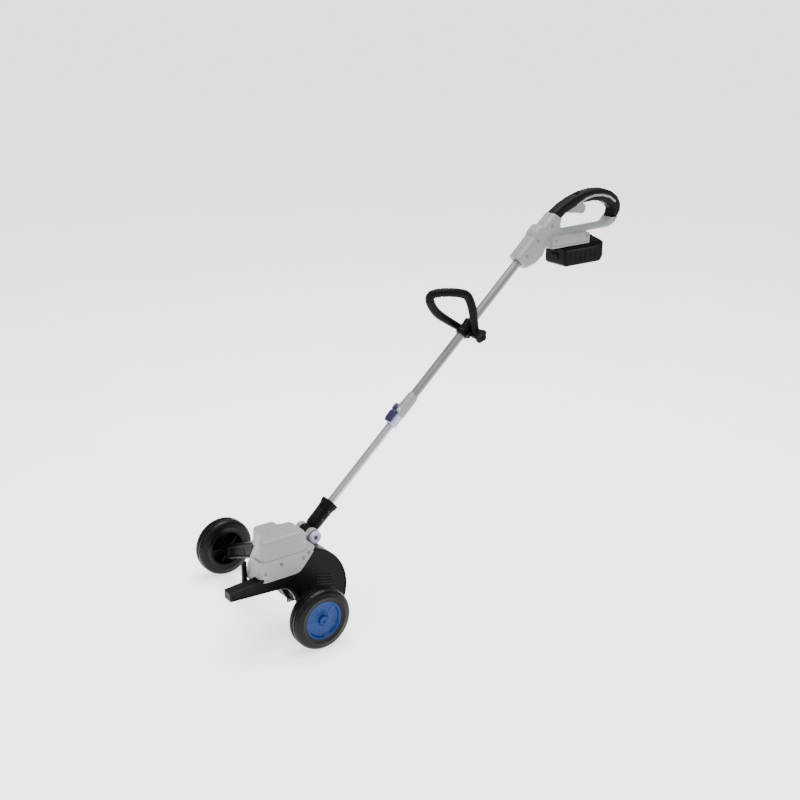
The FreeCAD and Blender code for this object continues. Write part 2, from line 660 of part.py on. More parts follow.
def handle_body():
    """Sleeve, grip arch, rear strut and lower bar in one outline, with the finger gap cut out."""
    front = [at(SLEEVE_START, -19), at(SLEEVE_START, 19), at(SLEEVE_S + 88, 20), at(SLEEVE_S + 96, 25),
             at(SLEEVE_S + 114, 25), at(SLEEVE_S + 124, 15)]
    outline = front + grip_points(GRIP_OUTER + LOWER_OUTER)
    gap = grip_points(OPEN_LOWER + GRIP_INNER)
    solid = prism(outline, SHAFT_Y - HANDLE_HALF, SHAFT_Y + HANDLE_HALF)
    solid = solid.cut(prism(gap, SHAFT_Y - 40, SHAFT_Y + 40))
    return solid


def handle_halves():
    body = handle_body()
    grip_zone = prism(grip_points(GRIP_OUTER + GRIP_INNER), SHAFT_Y - 40, SHAFT_Y + 40)
    core = prism(grip_points(grip_core()), SHAFT_Y - GRIP_HALF + GRIP_SKIN, SHAFT_Y + GRIP_HALF - GRIP_SKIN)
    foot = grip_box((-214, -96), FOOT_HALF, (40, 66))
    foot = foot.makeFillet(6.0, [e for e in foot.Edges if abs(e.Length - 26) < 0.01])
    solid = fuse([body.cut(grip_zone), core, foot])
    solid = solid.cut(rod(at(SLEEVE_START - 1, 0), S_DIR, UPPER_R, UPPER_S[1] - SLEEVE_START + 1))
    solid = solid.cut(grip_box((-200, -146), 9.5, (38, 56)))
    solid = solid.cut(fuse([switch_room(), button_room(), rod(grip(*TRIGGER_AXIS, -20), Y_DIR, 2.0, 40)]))
    solid = solid.cut(body_room())
    halves = []
    for low, high in ((-60.0, 0.0), (0.0, 60.0)):
        cutter = Part.makeBox(600, high - low, 400, grip(-450, -150, low))
        halves.append(solid.common(cutter))
    return halves


def body_room():
    """The hollow behind the tube's end and on both sides of the terminals in the foot."""
    wall = 3.0
    back = prism([at(UPPER_S[1] + 6, -15), at(UPPER_S[1] + 6, 15), at(SLEEVE_S + 116, 12), grip(-127, 104),
                  grip(-129, 76), grip(-208, 72), grip(-208, 60), grip(-96, 60)],
                 SHAFT_Y - HANDLE_HALF + wall, SHAFT_Y + HANDLE_HALF - wall)
    sides = []
    for y in (-FOOT_HALF + wall, 12.5):
        sides.append(Part.makeBox(106, FOOT_HALF - wall - 12.5, 20, grip(-208, 43, y)))
    return fuse([back] + sides)


def grip_core():
    """The grip's hard core, a skin's depth inside the overmould."""
    top = [(x + GRIP_SKIN * 0.4, z - GRIP_SKIN) for x, z in GRIP_OUTER[1:5]]
    back = [(-270, 157), (-297, 149), (-316, 136), (-327, 119), (-327, 103), (-320, 88)]
    return [(-112, 115)] + top + back + GRIP_INNER


def switch_room():
    room = prism(grip_points([(-152, 113), (-152, 138), (-232, 150), (-232, 133), (-216, 131), (-180, 124)]),
                 SHAFT_Y - 8.5, SHAFT_Y + 8.5)
    slot = grip_box((-232, -152), TRIGGER_HALF + 0.5, (104, 137))
    return fuse([room, slot])


def button_room():
    return rod(grip(-196, 130), V(0, 0, 1), 6.4, 40)


def grip_sleeve():
    outer = prism(grip_points(GRIP_OUTER + [(-308, 92), (-314, 106), (-304, 122), (-276, 139), (-240, 143),
                                            (-222, 139), (-210, 133), (-180, 126), (-152, 115), (-136, 103)]),
                  SHAFT_Y - GRIP_HALF, SHAFT_Y + GRIP_HALF)
    core = prism(grip_points(grip_core()), SHAFT_Y - GRIP_HALF + GRIP_SKIN, SHAFT_Y + GRIP_HALF - GRIP_SKIN)
    slot = grip_box((-232, -152), TRIGGER_HALF + 0.5, (104, 137))
    return outer.cut(core).cut(slot).cut(button_room())


def trigger():
    x, z = TRIGGER_AXIS
    blade = prism(grip_points([(x + 5, z + 4), (x + 3, z - 5), (x - 12, z - 9), (x - 52, z - 14), (x - 60, z - 9),
                               (x - 62, z + 4), (x - 50, z + 11), (x - 20, z + 9)]),
                  SHAFT_Y - TRIGGER_HALF, SHAFT_Y + TRIGGER_HALF)
    return blade.cut(rod(grip(x, z, -20), Y_DIR, 2.0 + RUN_GAP, 40))


def trigger_pin():
    return rod(grip(*TRIGGER_AXIS, -11.5), Y_DIR, 2.0, 23.0)


def switch_module():
    return prism(grip_points([(-162, 134), (-162, 138), (-186, 142), (-186, 137)]),
                 SHAFT_Y - 7.5, SHAFT_Y + 7.5).fuse(
        prism(grip_points([(-206, 139), (-206, 145), (-230, 148.5), (-230, 139)]), SHAFT_Y - 7.5, SHAFT_Y + 7.5))


def lock_off_button():
    cap = rod(grip(-196, 148.5), V(0, 0, 1), 6.0, 12.5)
    return cap.makeFillet(1.5, [max(cap.Edges, key=lambda e: e.BoundBox.ZMin)])


def lock_off_spring():
    return ring(grip(-196, 143.4), V(0, 0, 1), 4.6, 3.4, 5.0)


def terminal_block():
    block = grip_box((-199, -147), 9.0, (41, 55))
    blades = []
    for y in (-6.0, 5.0):
        blades.append(Part.makeBox(18, 1.0, 12.0, grip(-172, 30.0, y)))
    return fuse([block] + blades)


def handle_screws():
    screws = []
    for x, z in ((-30, 30), (-62, 62), (-104, 92), (-106, 60), (-203, 60), (-305, 81)):
        side = FOOT_HALF if z == 60 else HANDLE_HALF
        screws.append(rod(grip(x, z, side), Y_DIR, 3.0, 0.8))
    return group(screws)


# ---------------------------------------------------------------- battery
def battery_case():
    x, z = BATTERY_X, BATTERY_Z
    block = grip_box(x, BATTERY_HALF, z)
    block = block.makeFillet(5.0, [e for e in block.Edges if abs(e.Length - (z[1] - z[0])) < 0.01])
    crest = prism(grip_points([(x[0] + 1, z[1] - 1), (x[0] + 1, z[1] + 2), (x[0] + 8, z[1] + 6), (-230, z[1] + 16),
                               (-220, z[1] + 22), (-216, z[1] + 22), (-216, z[1] - 1)]), SHAFT_Y - 30, SHAFT_Y + 30)
    solid = fuse([block, crest])
    solid = solid.cut(grip_box((x[0] + 3, x[1] - 3), BATTERY_HALF - 3, (z[0] + 3, z[1] - 12)))
    for y in (-7.0, 4.0):
        solid = solid.cut(Part.makeBox(48, 3.0, 13.0, grip(-176, z[1] - 10, y)))
    return solid.cut(grip_box((x[1] - 12, x[1] + 1), 13.0, (8, 22)))


def battery_cells():
    cells = []
    for i in range(5):
        for y in (-CELL_L / 2,):
            x = BATTERY_X[0] + 22 + i * 20.0
            cells.append(rod(grip(x, BATTERY_Z[0] + 3.4 + CELL_R, y + 1), Y_DIR, CELL_R, CELL_L - 3))
    return group(cells)


def battery_latch():
    return fuse([grip_box((BATTERY_X[1] - 7, BATTERY_X[1] + 2), 12.0, (9, 21))])


def build():
    for name, side in (("near", 1), ("far", -1)):
        save(name + "_tyre", tyre(side))
        save(name + "_hub", hub(side))
        save(name + "_wheel_bush", wheel_bush(side))
        save(name + "_hub_cap", hub_cap(side))
    save("near_axle", near_axle())
    save("far_axle", far_axle())
    save("axle_clips", axle_clips())
    save("guard_hood", guard_hood())
    save("debris_flap", debris_flap())
    save("drive_case", drive_case())
    save("belt_cover", belt_cover())
    save("arbor_bearings", arbor_bearings())
    save("arbor", arbor())
    save("arbor_pulley", pulley(ARBOR, BIG_PULLEY_R, ARBOR_R))
    save("motor_pulley", pulley(MOTOR, SMALL_PULLEY_R, ROTOR_SHAFT_R))
    save("drive_belt", drive_belt())
    save("blade_flanges", group([blade_flange(122.0, BLADE_Y[0]), blade_flange(BLADE_Y[1], 133.6)]))
    save("edger_blade", edger_blade())
    save("blade_nut", hex_nut(ARBOR, 19.0, ARBOR_R, 133.6, 143.0))
    save("motor_can", motor_can())
    save("motor_rotor", motor_rotor())
    save("cooling_fan", cooling_fan())
    save("controller_board", controller_board())
    shell = housing_shell()
    save("housing_left", housing_half(shell, True))
    save("housing_right", housing_half(shell, False))
    save("motor_cover", motor_cover())
    save("housing_screws", housing_screws())
    save("far_wheel_arm", far_arm())
    save("pivot_yoke", pivot_yoke())
    save("pivot_pin", pivot_pin())
    save("pivot_button", pivot_button())
    save("pivot_socket", pivot_socket())
    save("socket_screws", socket_screws())
    save("lower_tube", tube(LOWER_R, *LOWER_S))
    save("upper_tube", tube(UPPER_R, *UPPER_S))
    save("lock_ring", lock_ring())
    save("lock_collar", lock_collar())
    save("cam_pin", cam_pin())
    save("cam_lever", cam_lever())
    save("aux_clamp", aux_clamp())
    save("aux_loop", aux_loop())
    save("aux_bolt", aux_bolt())
    save("aux_knob", aux_knob())
    right, left = handle_halves()
    save("handle_right", right)
    save("handle_left", left)
    save("grip_sleeve", grip_sleeve())
    save("trigger", trigger())
    save("trigger_pin", trigger_pin())
    save("switch_module", switch_module())
    save("lock_off_button", lock_off_button())
    save("lock_off_spring", lock_off_spring())
    save("terminal_block", terminal_block())
    save("handle_screws", handle_screws())
    save("battery_case", battery_case())
    save("battery_cells", battery_cells())
    save("battery_latch", battery_latch())


build()
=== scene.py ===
import json
import math
import bmesh
import bpy
import numpy as np
from mathutils import Matrix, Vector


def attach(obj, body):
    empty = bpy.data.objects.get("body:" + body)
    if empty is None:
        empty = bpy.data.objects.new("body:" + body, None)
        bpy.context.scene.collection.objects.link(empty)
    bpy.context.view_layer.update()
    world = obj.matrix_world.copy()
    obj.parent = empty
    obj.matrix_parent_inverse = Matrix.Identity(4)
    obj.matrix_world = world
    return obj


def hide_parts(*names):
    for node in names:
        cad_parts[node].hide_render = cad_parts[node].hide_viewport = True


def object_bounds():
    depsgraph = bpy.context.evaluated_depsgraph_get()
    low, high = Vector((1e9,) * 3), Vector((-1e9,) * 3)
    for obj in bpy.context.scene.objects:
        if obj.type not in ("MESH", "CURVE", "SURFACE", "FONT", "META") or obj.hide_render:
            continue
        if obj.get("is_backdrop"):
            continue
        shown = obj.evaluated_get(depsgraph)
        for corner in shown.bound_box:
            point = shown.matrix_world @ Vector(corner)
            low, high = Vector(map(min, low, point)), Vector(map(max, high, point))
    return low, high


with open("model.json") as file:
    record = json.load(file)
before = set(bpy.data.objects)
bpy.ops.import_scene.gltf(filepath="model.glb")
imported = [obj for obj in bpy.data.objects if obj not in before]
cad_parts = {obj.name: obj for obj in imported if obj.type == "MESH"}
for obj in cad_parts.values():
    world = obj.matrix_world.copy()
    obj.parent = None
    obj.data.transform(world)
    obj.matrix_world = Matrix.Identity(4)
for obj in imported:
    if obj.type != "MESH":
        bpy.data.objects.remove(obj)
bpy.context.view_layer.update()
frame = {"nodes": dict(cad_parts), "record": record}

# Lengths are millimetres in the CAD frame until an object is made; z is up, x forward, y to the left.
MM = 0.001


def grid_step(full):
    """Spacing of a field's grid, the same for every render."""
    return full


COARSE = grid_step(1.0)
FINE = grid_step(0.8)
SMALL = grid_step(0.6)

AXLE_X = 389.4
WHEEL_R = 69.0
WHEEL_Y = 210.5
WHEEL_W = 34.5
HOOD_C = (-1.0, 98.0)
HOOD_R = 106.0
ARBOR = (-6.0, 84.0)
SHAFT_Y = 80.0
LEAN = math.radians(41.6)
COS = math.cos(LEAN)
SIN = math.sin(LEAN)
PIVOT = (AXLE_X - 55.0, 203.0)
SLEEVE_S = 766.0
SLEEVE_START = 788.0
AUX_AXIS = (588.0, -14.0)
CAM_AXIS = (341.0, 16.5)


def at(s, n, y=0.0):
    """The point s along the shaft from its pivot, n above its axis and y to its left."""
    return (PIVOT[0] - s * COS + n * SIN, SHAFT_Y + y, PIVOT[1] + s * SIN + n * COS)


def flat_at(s, n):
    p = at(s, n)
    return (p[0], p[2])


GRIP_O = flat_at(SLEEVE_S, 0)


def flat_grip(x, z):
    return (GRIP_O[0] + x, GRIP_O[1] + z)


def flat_head(x, z):
    return (AXLE_X + x, z)


def shaft_points(*points):
    return [flat_at(*p) for p in points]


def grip_points(*points):
    return [flat_grip(*p) for p in points]


def head_points(*points):
    return [flat_head(*p) for p in points]


def arc(centre, radius, first, last, step):
    """Points on a circle in the side view, at angles in degrees; centre is from the axle and the ground."""
    angles = [math.radians(a) for a in range(first, last, step)]
    return [flat_head(centre[0] + radius * math.cos(a), centre[1] + radius * math.sin(a)) for a in angles]


def span(half):
    """Both sides of the shaft's middle plane."""
    return SHAFT_Y - half, SHAFT_Y + half


# ---- materials
def node(tree, kind, **sockets):
    """A shader node with constant inputs; underscores stand for the spaces in their names."""
    made = tree.nodes.new(kind)
    for key, value in sockets.items():
        made.inputs[key.replace("_", " ")].default_value = value
    return made


def noise(tree, place, scale, detail, rough=0.5):
    made = node(tree, "ShaderNodeTexNoise", Scale=scale, Detail=detail, Roughness=rough)
    tree.links.new(place, made.inputs["Vector"])
    return made.outputs["Fac"]


def ramp(tree, source, low, high, dark, light):
    """A two-stop colour ramp driven by source."""
    made = tree.nodes.new("ShaderNodeValToRGB")
    for stop, position, colour in zip(made.color_ramp.elements, (low, high), (dark, light)):
        stop.position = position
        stop.color = (*colour, 1.0)
    tree.links.new(source, made.inputs["Fac"])
    return made.outputs["Color"]


def overlay(tree, factor, under, colour):
    """Lays one plain colour over another by a factor."""
    made = tree.nodes.new("ShaderNodeMix")
    made.data_type = "RGBA"
    made.inputs["B"].default_value = (*colour, 1.0)
    tree.links.new(factor, made.inputs["Factor"])
    tree.links.new(under, made.inputs["A"])
    return made.outputs["Result"]


def bump(tree, height, strength, distance, before=None):
    made = node(tree, "ShaderNodeBump", Strength=strength, Distance=distance)
    tree.links.new(height, made.inputs["Height"])
    if before:
        tree.links.new(before, made.inputs["Normal"])
    return made.outputs["Normal"]


def tint(colour, gain):
    return tuple(min(1.0, c * gain) for c in colour)


DUST = (0.32, 0.31, 0.28)


def finish(name, colour, rough, spread=0.06, grain=1500.0, depth=0.05, mottle=0.10, wear=0.35,
           wear_gain=1.5, metallic=0.0, coat=0.0, brushed=None, speck=0.0, shine=0.45):
    """One moulded or metal finish: mottled colour, uneven gloss, a grain in the surface, and rubbed edges."""
    mat = bpy.data.materials.new(name)
    mat.use_nodes = True
    tree = mat.node_tree
    tree.nodes.clear()
    link = tree.links.new
    out = tree.nodes.new("ShaderNodeOutputMaterial")
    skin = node(tree, "ShaderNodeBsdfPrincipled", Metallic=metallic, Coat_Weight=coat, Coat_Roughness=0.18,
            Specular_IOR_Level=shine)
    place = tree.nodes.new("ShaderNodeTexCoord").outputs["Object"]
    broad = noise(tree, place, 14.0, 6.0, 0.6)
    patch = noise(tree, place, 70.0, 5.0, 0.65)
    base = ramp(tree, broad, 0.3, 0.72, tint(colour, 1.0 - mottle), tint(colour, 1.0 + mottle))
    edges = tree.nodes.new("ShaderNodeNewGeometry").outputs["Pointiness"]
    broken = tree.nodes.new("ShaderNodeMath")
    broken.operation = "MULTIPLY"
    link(ramp(tree, edges, 0.50, 0.60, (0, 0, 0), (wear,) * 3), broken.inputs[0])
    link(patch, broken.inputs[1])
    base = overlay(tree, broken.outputs[0], base, tint(colour, wear_gain))
    if speck:
        dust = ramp(tree, noise(tree, place, 420.0, 2.0), 0.66, 0.78, (0, 0, 0), (speck,) * 3)
        base = overlay(tree, dust, base, DUST)
    link(base, skin.inputs["Base Color"])
    link(ramp(tree, patch, 0.25, 0.8, (rough - spread,) * 3, (rough + spread,) * 3), skin.inputs["Roughness"])
    if brushed:
        turn = node(tree, "ShaderNodeMapping", Rotation=(0.0, brushed, 0.0), Scale=(0.03, 1.0, 1.0))
        link(place, turn.inputs["Vector"])
        place = turn.outputs["Vector"]
    fine = bump(tree, noise(tree, place, grain, 3.0, 0.55), depth, 0.0004)
    link(bump(tree, patch, 0.10, 0.0006, fine), skin.inputs["Normal"])
    link(skin.outputs["BSDF"], out.inputs["Surface"])
    return mat


FINISHES = [
    ("grey_shell", (0.205, 0.219, 0.217), 0.44, dict(grain=1800.0, depth=0.22, mottle=0.07, wear_gain=1.3)),
    ("grey_rear", (0.172, 0.186, 0.192), 0.42, dict(grain=1800.0, depth=0.20, mottle=0.06, wear_gain=1.3)),
    ("black_plastic", (0.0020, 0.0020, 0.0022), 0.40, dict(spread=0.09, depth=0.30, mottle=0.3, wear_gain=5.0,
     wear=0.4, speck=0.012, shine=0.07)),
    ("tyre_rubber", (0.0022, 0.0022, 0.0028), 0.30, dict(spread=0.08, grain=1100.0, depth=0.26, mottle=0.3,
     wear_gain=5.0, wear=0.4, speck=0.016, shine=0.12)),
    ("blue_plastic", (0.003, 0.026, 0.130), 0.30, dict(grain=1300.0, depth=0.08, mottle=0.12, coat=0.03,
     shine=0.14)),
    ("lilac_plastic", (0.40, 0.37, 0.60), 0.38, dict(depth=0.12, mottle=0.08, wear_gain=1.3)),
    ("navy_plastic", (0.008, 0.009, 0.040), 0.34, dict(depth=0.10, mottle=0.15, wear_gain=3.0, coat=0.05,
     shine=0.25)),
    ("grip_rubber", (0.0020, 0.0020, 0.0024), 0.48, dict(spread=0.08, grain=2300.0, depth=0.40, mottle=0.25,
     wear_gain=4.0, speck=0.010, shine=0.07)),
    ("tube_lower", (0.32, 0.33, 0.345), 0.30, dict(spread=0.07, grain=2600.0, depth=0.12, mottle=0.06,
     metallic=0.85, brushed=LEAN, wear_gain=1.2)),
    ("tube_upper", (0.150, 0.154, 0.158), 0.34, dict(spread=0.07, grain=2600.0, depth=0.12, mottle=0.07,
     metallic=0.6, brushed=LEAN, wear_gain=1.4)),
    ("steel", (0.46, 0.46, 0.47), 0.30, dict(spread=0.10, grain=1400.0, depth=0.10, mottle=0.10, metallic=1.0,
     wear_gain=1.3)),
    ("blade_steel", (0.33, 0.335, 0.35), 0.34, dict(spread=0.12, grain=1900.0, depth=0.16, mottle=0.16,
     metallic=1.0, brushed=0.01, wear_gain=1.6)),
    ("bronze", (0.43, 0.27, 0.11), 0.36, dict(grain=2100.0, depth=0.18, mottle=0.14, metallic=1.0,
     wear_gain=1.4)),
    ("battery_plastic", (0.0012, 0.0012, 0.0014), 0.38, dict(spread=0.09, grain=1700.0, depth=0.30,
     mottle=0.3, wear_gain=5.0, speck=0.008, shine=0.06)),
    ("board_green", (0.015, 0.10, 0.040), 0.35, dict(grain=900.0, depth=0.15, mottle=0.25, coat=0.4,
     wear_gain=2.0)),
    ("dark_grey_plastic", (0.060, 0.062, 0.066), 0.42, dict(depth=0.22, mottle=0.15, wear_gain=2.5)),
    ("cell_wrap", (0.04, 0.20, 0.17), 0.25, dict(grain=1200.0, depth=0.06, coat=0.4, wear_gain=1.6)),
    ("grey_screw", (0.17, 0.175, 0.18), 0.42, dict(depth=0.10, mottle=0.15, metallic=0.6)),
    ("dark_screw", (0.035, 0.035, 0.038), 0.42, dict(depth=0.10, mottle=0.15, metallic=0.7)),
]
MATS = {row[0]: finish(*row[:3], **row[3]) for row in FINISHES}
MATS["tube_aluminium"] = MATS["tube_lower"]


# ---- solids as distance fields
def put(name, data):
    made = bpy.data.objects.new(name, data)
    bpy.context.scene.collection.objects.link(made)
    return made


def built(name, verts, faces):
    mesh = bpy.data.meshes.new(name)
    mesh.from_pydata(verts, [], faces)
    return put(name, mesh)


class Space:
    """A block of grid points; every shape below gives its distance at each of them, negative inside.

    s and n run along and across the shaft and reach is the distance from its axis; hx is forward of the
    axle, gx and gz are from the grip's origin, and aside is from the shaft's middle plane.
    """

    def __init__(self, low, high, step):
        pad = 2.0 * step
        self.step = step
        self.low = [a - pad for a in low]
        self.axes = [np.arange(a - pad, b + pad + step, step, dtype=np.float32) for a, b in zip(low, high)]
        self.x = self.axes[0][:, None, None]
        self.y = self.axes[1][None, :, None]
        self.z = self.axes[2][None, None, :]
        self.shape = tuple(len(a) for a in self.axes)
        self.s = (PIVOT[0] - self.x) * COS + (self.z - PIVOT[1]) * SIN
        self.n = (self.x - PIVOT[0]) * SIN + (self.z - PIVOT[1]) * COS
        self.reach = np.hypot(self.n, self.y - SHAFT_Y)
        self.aside = np.abs(self.y - SHAFT_Y)
        self.hx = self.x - AXLE_X
        self.gx = self.x - GRIP_O[0]
        self.gz = self.z - GRIP_O[1]


def outline(u, v, points):
    """Signed distance to a closed polygon, for any two coordinates."""
    best = None
    inside = False
    count = len(points)
    for i in range(count):
        ax, ay = points[i]
        bx, by = points[(i + 1) % count]
        ex, ey = bx - ax, by - ay
        wx, wy = u - ax, v - ay
        t = np.clip((wx * ex + wy * ey) / (ex * ex + ey * ey), 0.0, 1.0)
        d = (wx - ex * t) ** 2 + (wy - ey * t) ** 2
        best = d if best is None else np.minimum(best, d)
        if ay != by:
            crosses = ((ay > v) != (by > v)) & (u < (bx - ax) * (v - ay) / (by - ay) + ax)
            inside = inside ^ crosses
    d = np.sqrt(best)
    return np.where(inside, -d, d)


def between(coord, low, high):
    """Distance along coord to the stretch from low to high."""
    return np.abs(coord - 0.5 * (low + high)) - 0.5 * (high - low)


def corner(a, b, r):
    """Where two distances are both negative, with the edge between them rounded by r."""
    a = a + r
    b = b + r
    return np.minimum(np.maximum(a, b), 0.0) + np.hypot(np.maximum(a, 0.0), np.maximum(b, 0.0)) - r


def rect(u, v, across, up):
    return corner(between(u, *across), between(v, *up), 0.0)


def slab(d, coord, low, high, r=0.0):
    """Carries a flat distance d along coord from low to high, with its ends rounded by r."""
    return corner(d, between(coord, low, high), r)


def brick(g, x, y, z, r=0.0):
    """A box; x is forward of the axle."""
    return slab(slab(between(g.hx, *x), g.z, *z, r), g.y, *y, r)


def grip_brick(g, x, half, z, r=0.0):
    """A box about the shaft's middle plane; x and z are from the grip's origin."""
    return slab(slab(between(g.gx, *x), g.gz, *z, r), g.y, *span(half), r)


def around(g, centre):
    """Distance in the side view from a point (x, z)."""
    return np.hypot(g.x - centre[0], g.z - centre[1])


def post(g, centre, radius, y0, y1, r=0.0):
    """A cylinder along y about (x, z)."""
    return slab(around(g, centre) - radius, g.y, y0, y1, r)


def plate(g, points, y0, y1, r=0.0):
    """A side-view outline carried along y."""
    return slab(outline(g.x, g.z, points), g.y, y0, y1, r)


def bead(g, a, b, radius):
    """A rod with round ends between two points."""
    a = [float(c) for c in a]
    e = [float(q) - p for p, q in zip(a, b)]
    ee = sum(c * c for c in e)
    w = (g.x - a[0], g.y - a[1], g.z - a[2])
    t = np.clip((w[0] * e[0] + w[1] * e[1] + w[2] * e[2]) / ee, 0.0, 1.0)
    return np.sqrt((w[0] - e[0] * t) ** 2 + (w[1] - e[1] * t) ** 2 + (w[2] - e[2] * t) ** 2) - radius


def join(a, b, k=0.0):
    """Both shapes as one, with a fillet of about k."""
    if k <= 0.0:
        return np.minimum(a, b)
    h = np.maximum(k - np.abs(a - b), 0.0) / k
    return np.minimum(a, b) - h * h * k * 0.25


def cut(a, b, k=0.0):
    return -join(-a, b, k)


def meet(a, b, k=0.0):
    return -join(-a, -b, k)


def skin(name, g, d):
    """Wraps the zero level of d in a closed quad mesh, one corner per grid cell the surface crosses."""
    d = np.array(np.broadcast_to(d, g.shape), dtype=np.float32)
    for axis in range(3):
        for end in (0, -1):
            np.moveaxis(d, axis, 0)[end] = g.step
    inside = d < 0.0
    nx, ny, nz = d.shape
    count = np.zeros((nx - 1, ny - 1, nz - 1), np.uint8)
    corners = [(i, j, k) for i in (0, 1) for j in (0, 1) for k in (0, 1)]
    for i, j, k in corners:
        count += inside[i:nx - 1 + i, j:ny - 1 + j, k:nz - 1 + k]
    active = (count > 0) & (count < 8)
    cell = np.argwhere(active)
    index = np.full(active.shape, -1, np.int32)
    index[active] = np.arange(len(cell))
    spot = np.zeros((len(cell), 3))
    hits = np.zeros(len(cell))
    for a in corners:
        for axis in range(3):
            if a[axis]:
                continue
            b = list(a)
            b[axis] = 1
            da = d[cell[:, 0] + a[0], cell[:, 1] + a[1], cell[:, 2] + a[2]]
            db = d[cell[:, 0] + b[0], cell[:, 1] + b[1], cell[:, 2] + b[2]]
            m = (da < 0.0) != (db < 0.0)
            t = da[m] / (da[m] - db[m])
            p = np.tile(np.array(a, float), (int(m.sum()), 1))
            p[:, axis] = t
            spot[m] += p
            hits[m] += 1
    verts = (np.array(g.low) + (cell + spot / hits[:, None]) * g.step) * MM
    quads = []
    for axis in range(3):
        lo = np.take(inside, range(0, d.shape[axis] - 1), axis)
        hi = np.take(inside, range(1, d.shape[axis]), axis)
        edge = np.argwhere(lo != hi)
        u, v = (axis + 1) % 3, (axis + 2) % 3
        eu = np.zeros(3, int)
        ev = np.zeros(3, int)
        eu[u] = 1
        ev[v] = 1
        c = [edge - eu - ev, edge - ev, edge, edge - eu]
        ids = np.stack([index[q[:, 0], q[:, 1], q[:, 2]] for q in c], 1)
        outward = lo[edge[:, 0], edge[:, 1], edge[:, 2]]
        ids[~outward] = ids[~outward][:, ::-1]
        quads.append(ids)
    faces = np.concatenate(quads)
    mesh = bpy.data.meshes.new(name)
    mesh.vertices.add(len(verts))
    mesh.vertices.foreach_set("co", verts.astype(np.float32).ravel())
    mesh.loops.add(faces.size)
    mesh.loops.foreach_set("vertex_index", faces.astype(np.int32).ravel())
    mesh.polygons.add(len(faces))
    mesh.polygons.foreach_set("loop_start", np.arange(0, faces.size, 4, dtype=np.int32))
    mesh.update(calc_edges=True)
    mesh.validate()
    mesh.shade_smooth()
    return put(name, mesh)


def piece(made, body, mat, nodes=()):
    made.data.materials.clear()
    made.data.materials.append(MATS[mat])
    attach(made, body)
    if nodes:
        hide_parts(*nodes)


def two_shells(part, g, d, y, gap, ease, body, mat):
    """Splits a form at y into a left and a right shell, with an eased seam between them."""
    seam = np.abs(g.y - y) - gap
    for hand, half in (("left", y - g.y), ("right", g.y - y)):
        shell = cut(meet(d, half), seam, ease)
        piece(skin(f"{part}_{hand}_shell", g, shell), body, mat, [f"{part}_{hand}"])


# ---- turned parts
def turned(name, profile, origin, axis, start, steps=96, shape=None, sharp=40.0):
    """A closed (radius, offset) profile turned about an axis; shape may move each corner."""
    axis = Vector(axis).normalized()
    side = Vector(start).normalized()
    up = axis.cross(side)
    origin = Vector(origin)
    verts = []
    for i in range(steps):
        a = 2.0 * math.pi * i / steps
        out = side * math.cos(a) + up * math.sin(a)
        for k, (r, h) in enumerate(profile):
            if shape:
                r, h = shape(k, r, h, i)
            verts.append((origin + out * r + axis * h) * MM)
    m = len(profile)
    faces = []
    for i in range(steps):
        j = (i + 1) % steps
        for k in range(m):
            q = (k + 1) % m
            if profile[k][0] < 1e-6 and profile[q][0] < 1e-6:
                continue
            faces.append((i * m + k, i * m + q, j * m + q, j * m + k))
    made = built(name, verts, faces)
    weld = made.modifiers.new("weld", "WELD")
    weld.merge_threshold = 1e-6
    bake(made)
    tidy_normals(made, sharp)
    return made


def bake(made):
    """Applies the modifiers."""
    graph = bpy.context.evaluated_depsgraph_get()
    graph.update()
    mesh = bpy.data.meshes.new_from_object(made.evaluated_get(graph))
    made.modifiers.clear()
    old = made.data
    made.data = mesh
    bpy.data.meshes.remove(old)
    mesh.name = made.name


def closed_rings(rows, count, base=0):
    """Quads between rows of count corners each, and a face over each end."""
    faces = []
    for k in range(rows - 1):
        for i in range(count):
            j = (i + 1) % count
            a = base + k * count
            b = a + count
            faces.append((a + i, a + j, b + j, b + i))
    top = base + (rows - 1) * count
    return faces + [tuple(range(base, base + count)), tuple(range(top + count - 1, top - 1, -1))]


def tidy_normals(made, sharp):
    """Faces outward, smooth but for edges over an angle in degrees."""
    bm = bmesh.new()
    bm.from_mesh(made.data)
    bmesh.ops.recalc_face_normals(bm, faces=bm.faces)
    bm.to_mesh(made.data)
    bm.free()
    made.data.shade_smooth()
    made.data.set_sharp_from_angle(angle=math.radians(sharp))


def eased(profile, r):
    """Rounds the corners of a closed profile."""
    done = []
    count = len(profile)
    for i in range(count):
        p = Vector(profile[i])
        a = Vector(profile[i - 1]) - p
        b = Vector(profile[(i + 1) % count]) - p
        if a.length < 1e-6 or b.length < 1e-6 or p.x < 1e-6:
            done.append(tuple(p))
            continue
        back = min(r, 0.45 * a.length, 0.45 * b.length)
        if a.angle(b) > math.radians(172):
            done.append(tuple(p))
            continue
        p0 = p + a.normalized() * back
        p1 = p + b.normalized() * back
        for k in range(4):
            t = k / 3
            done.append(tuple(p0 * (1 - t) ** 2 + p * 2 * t * (1 - t) + p1 * t * t))
    return done


# ---- wheels
HUB_PROUD = 2.8


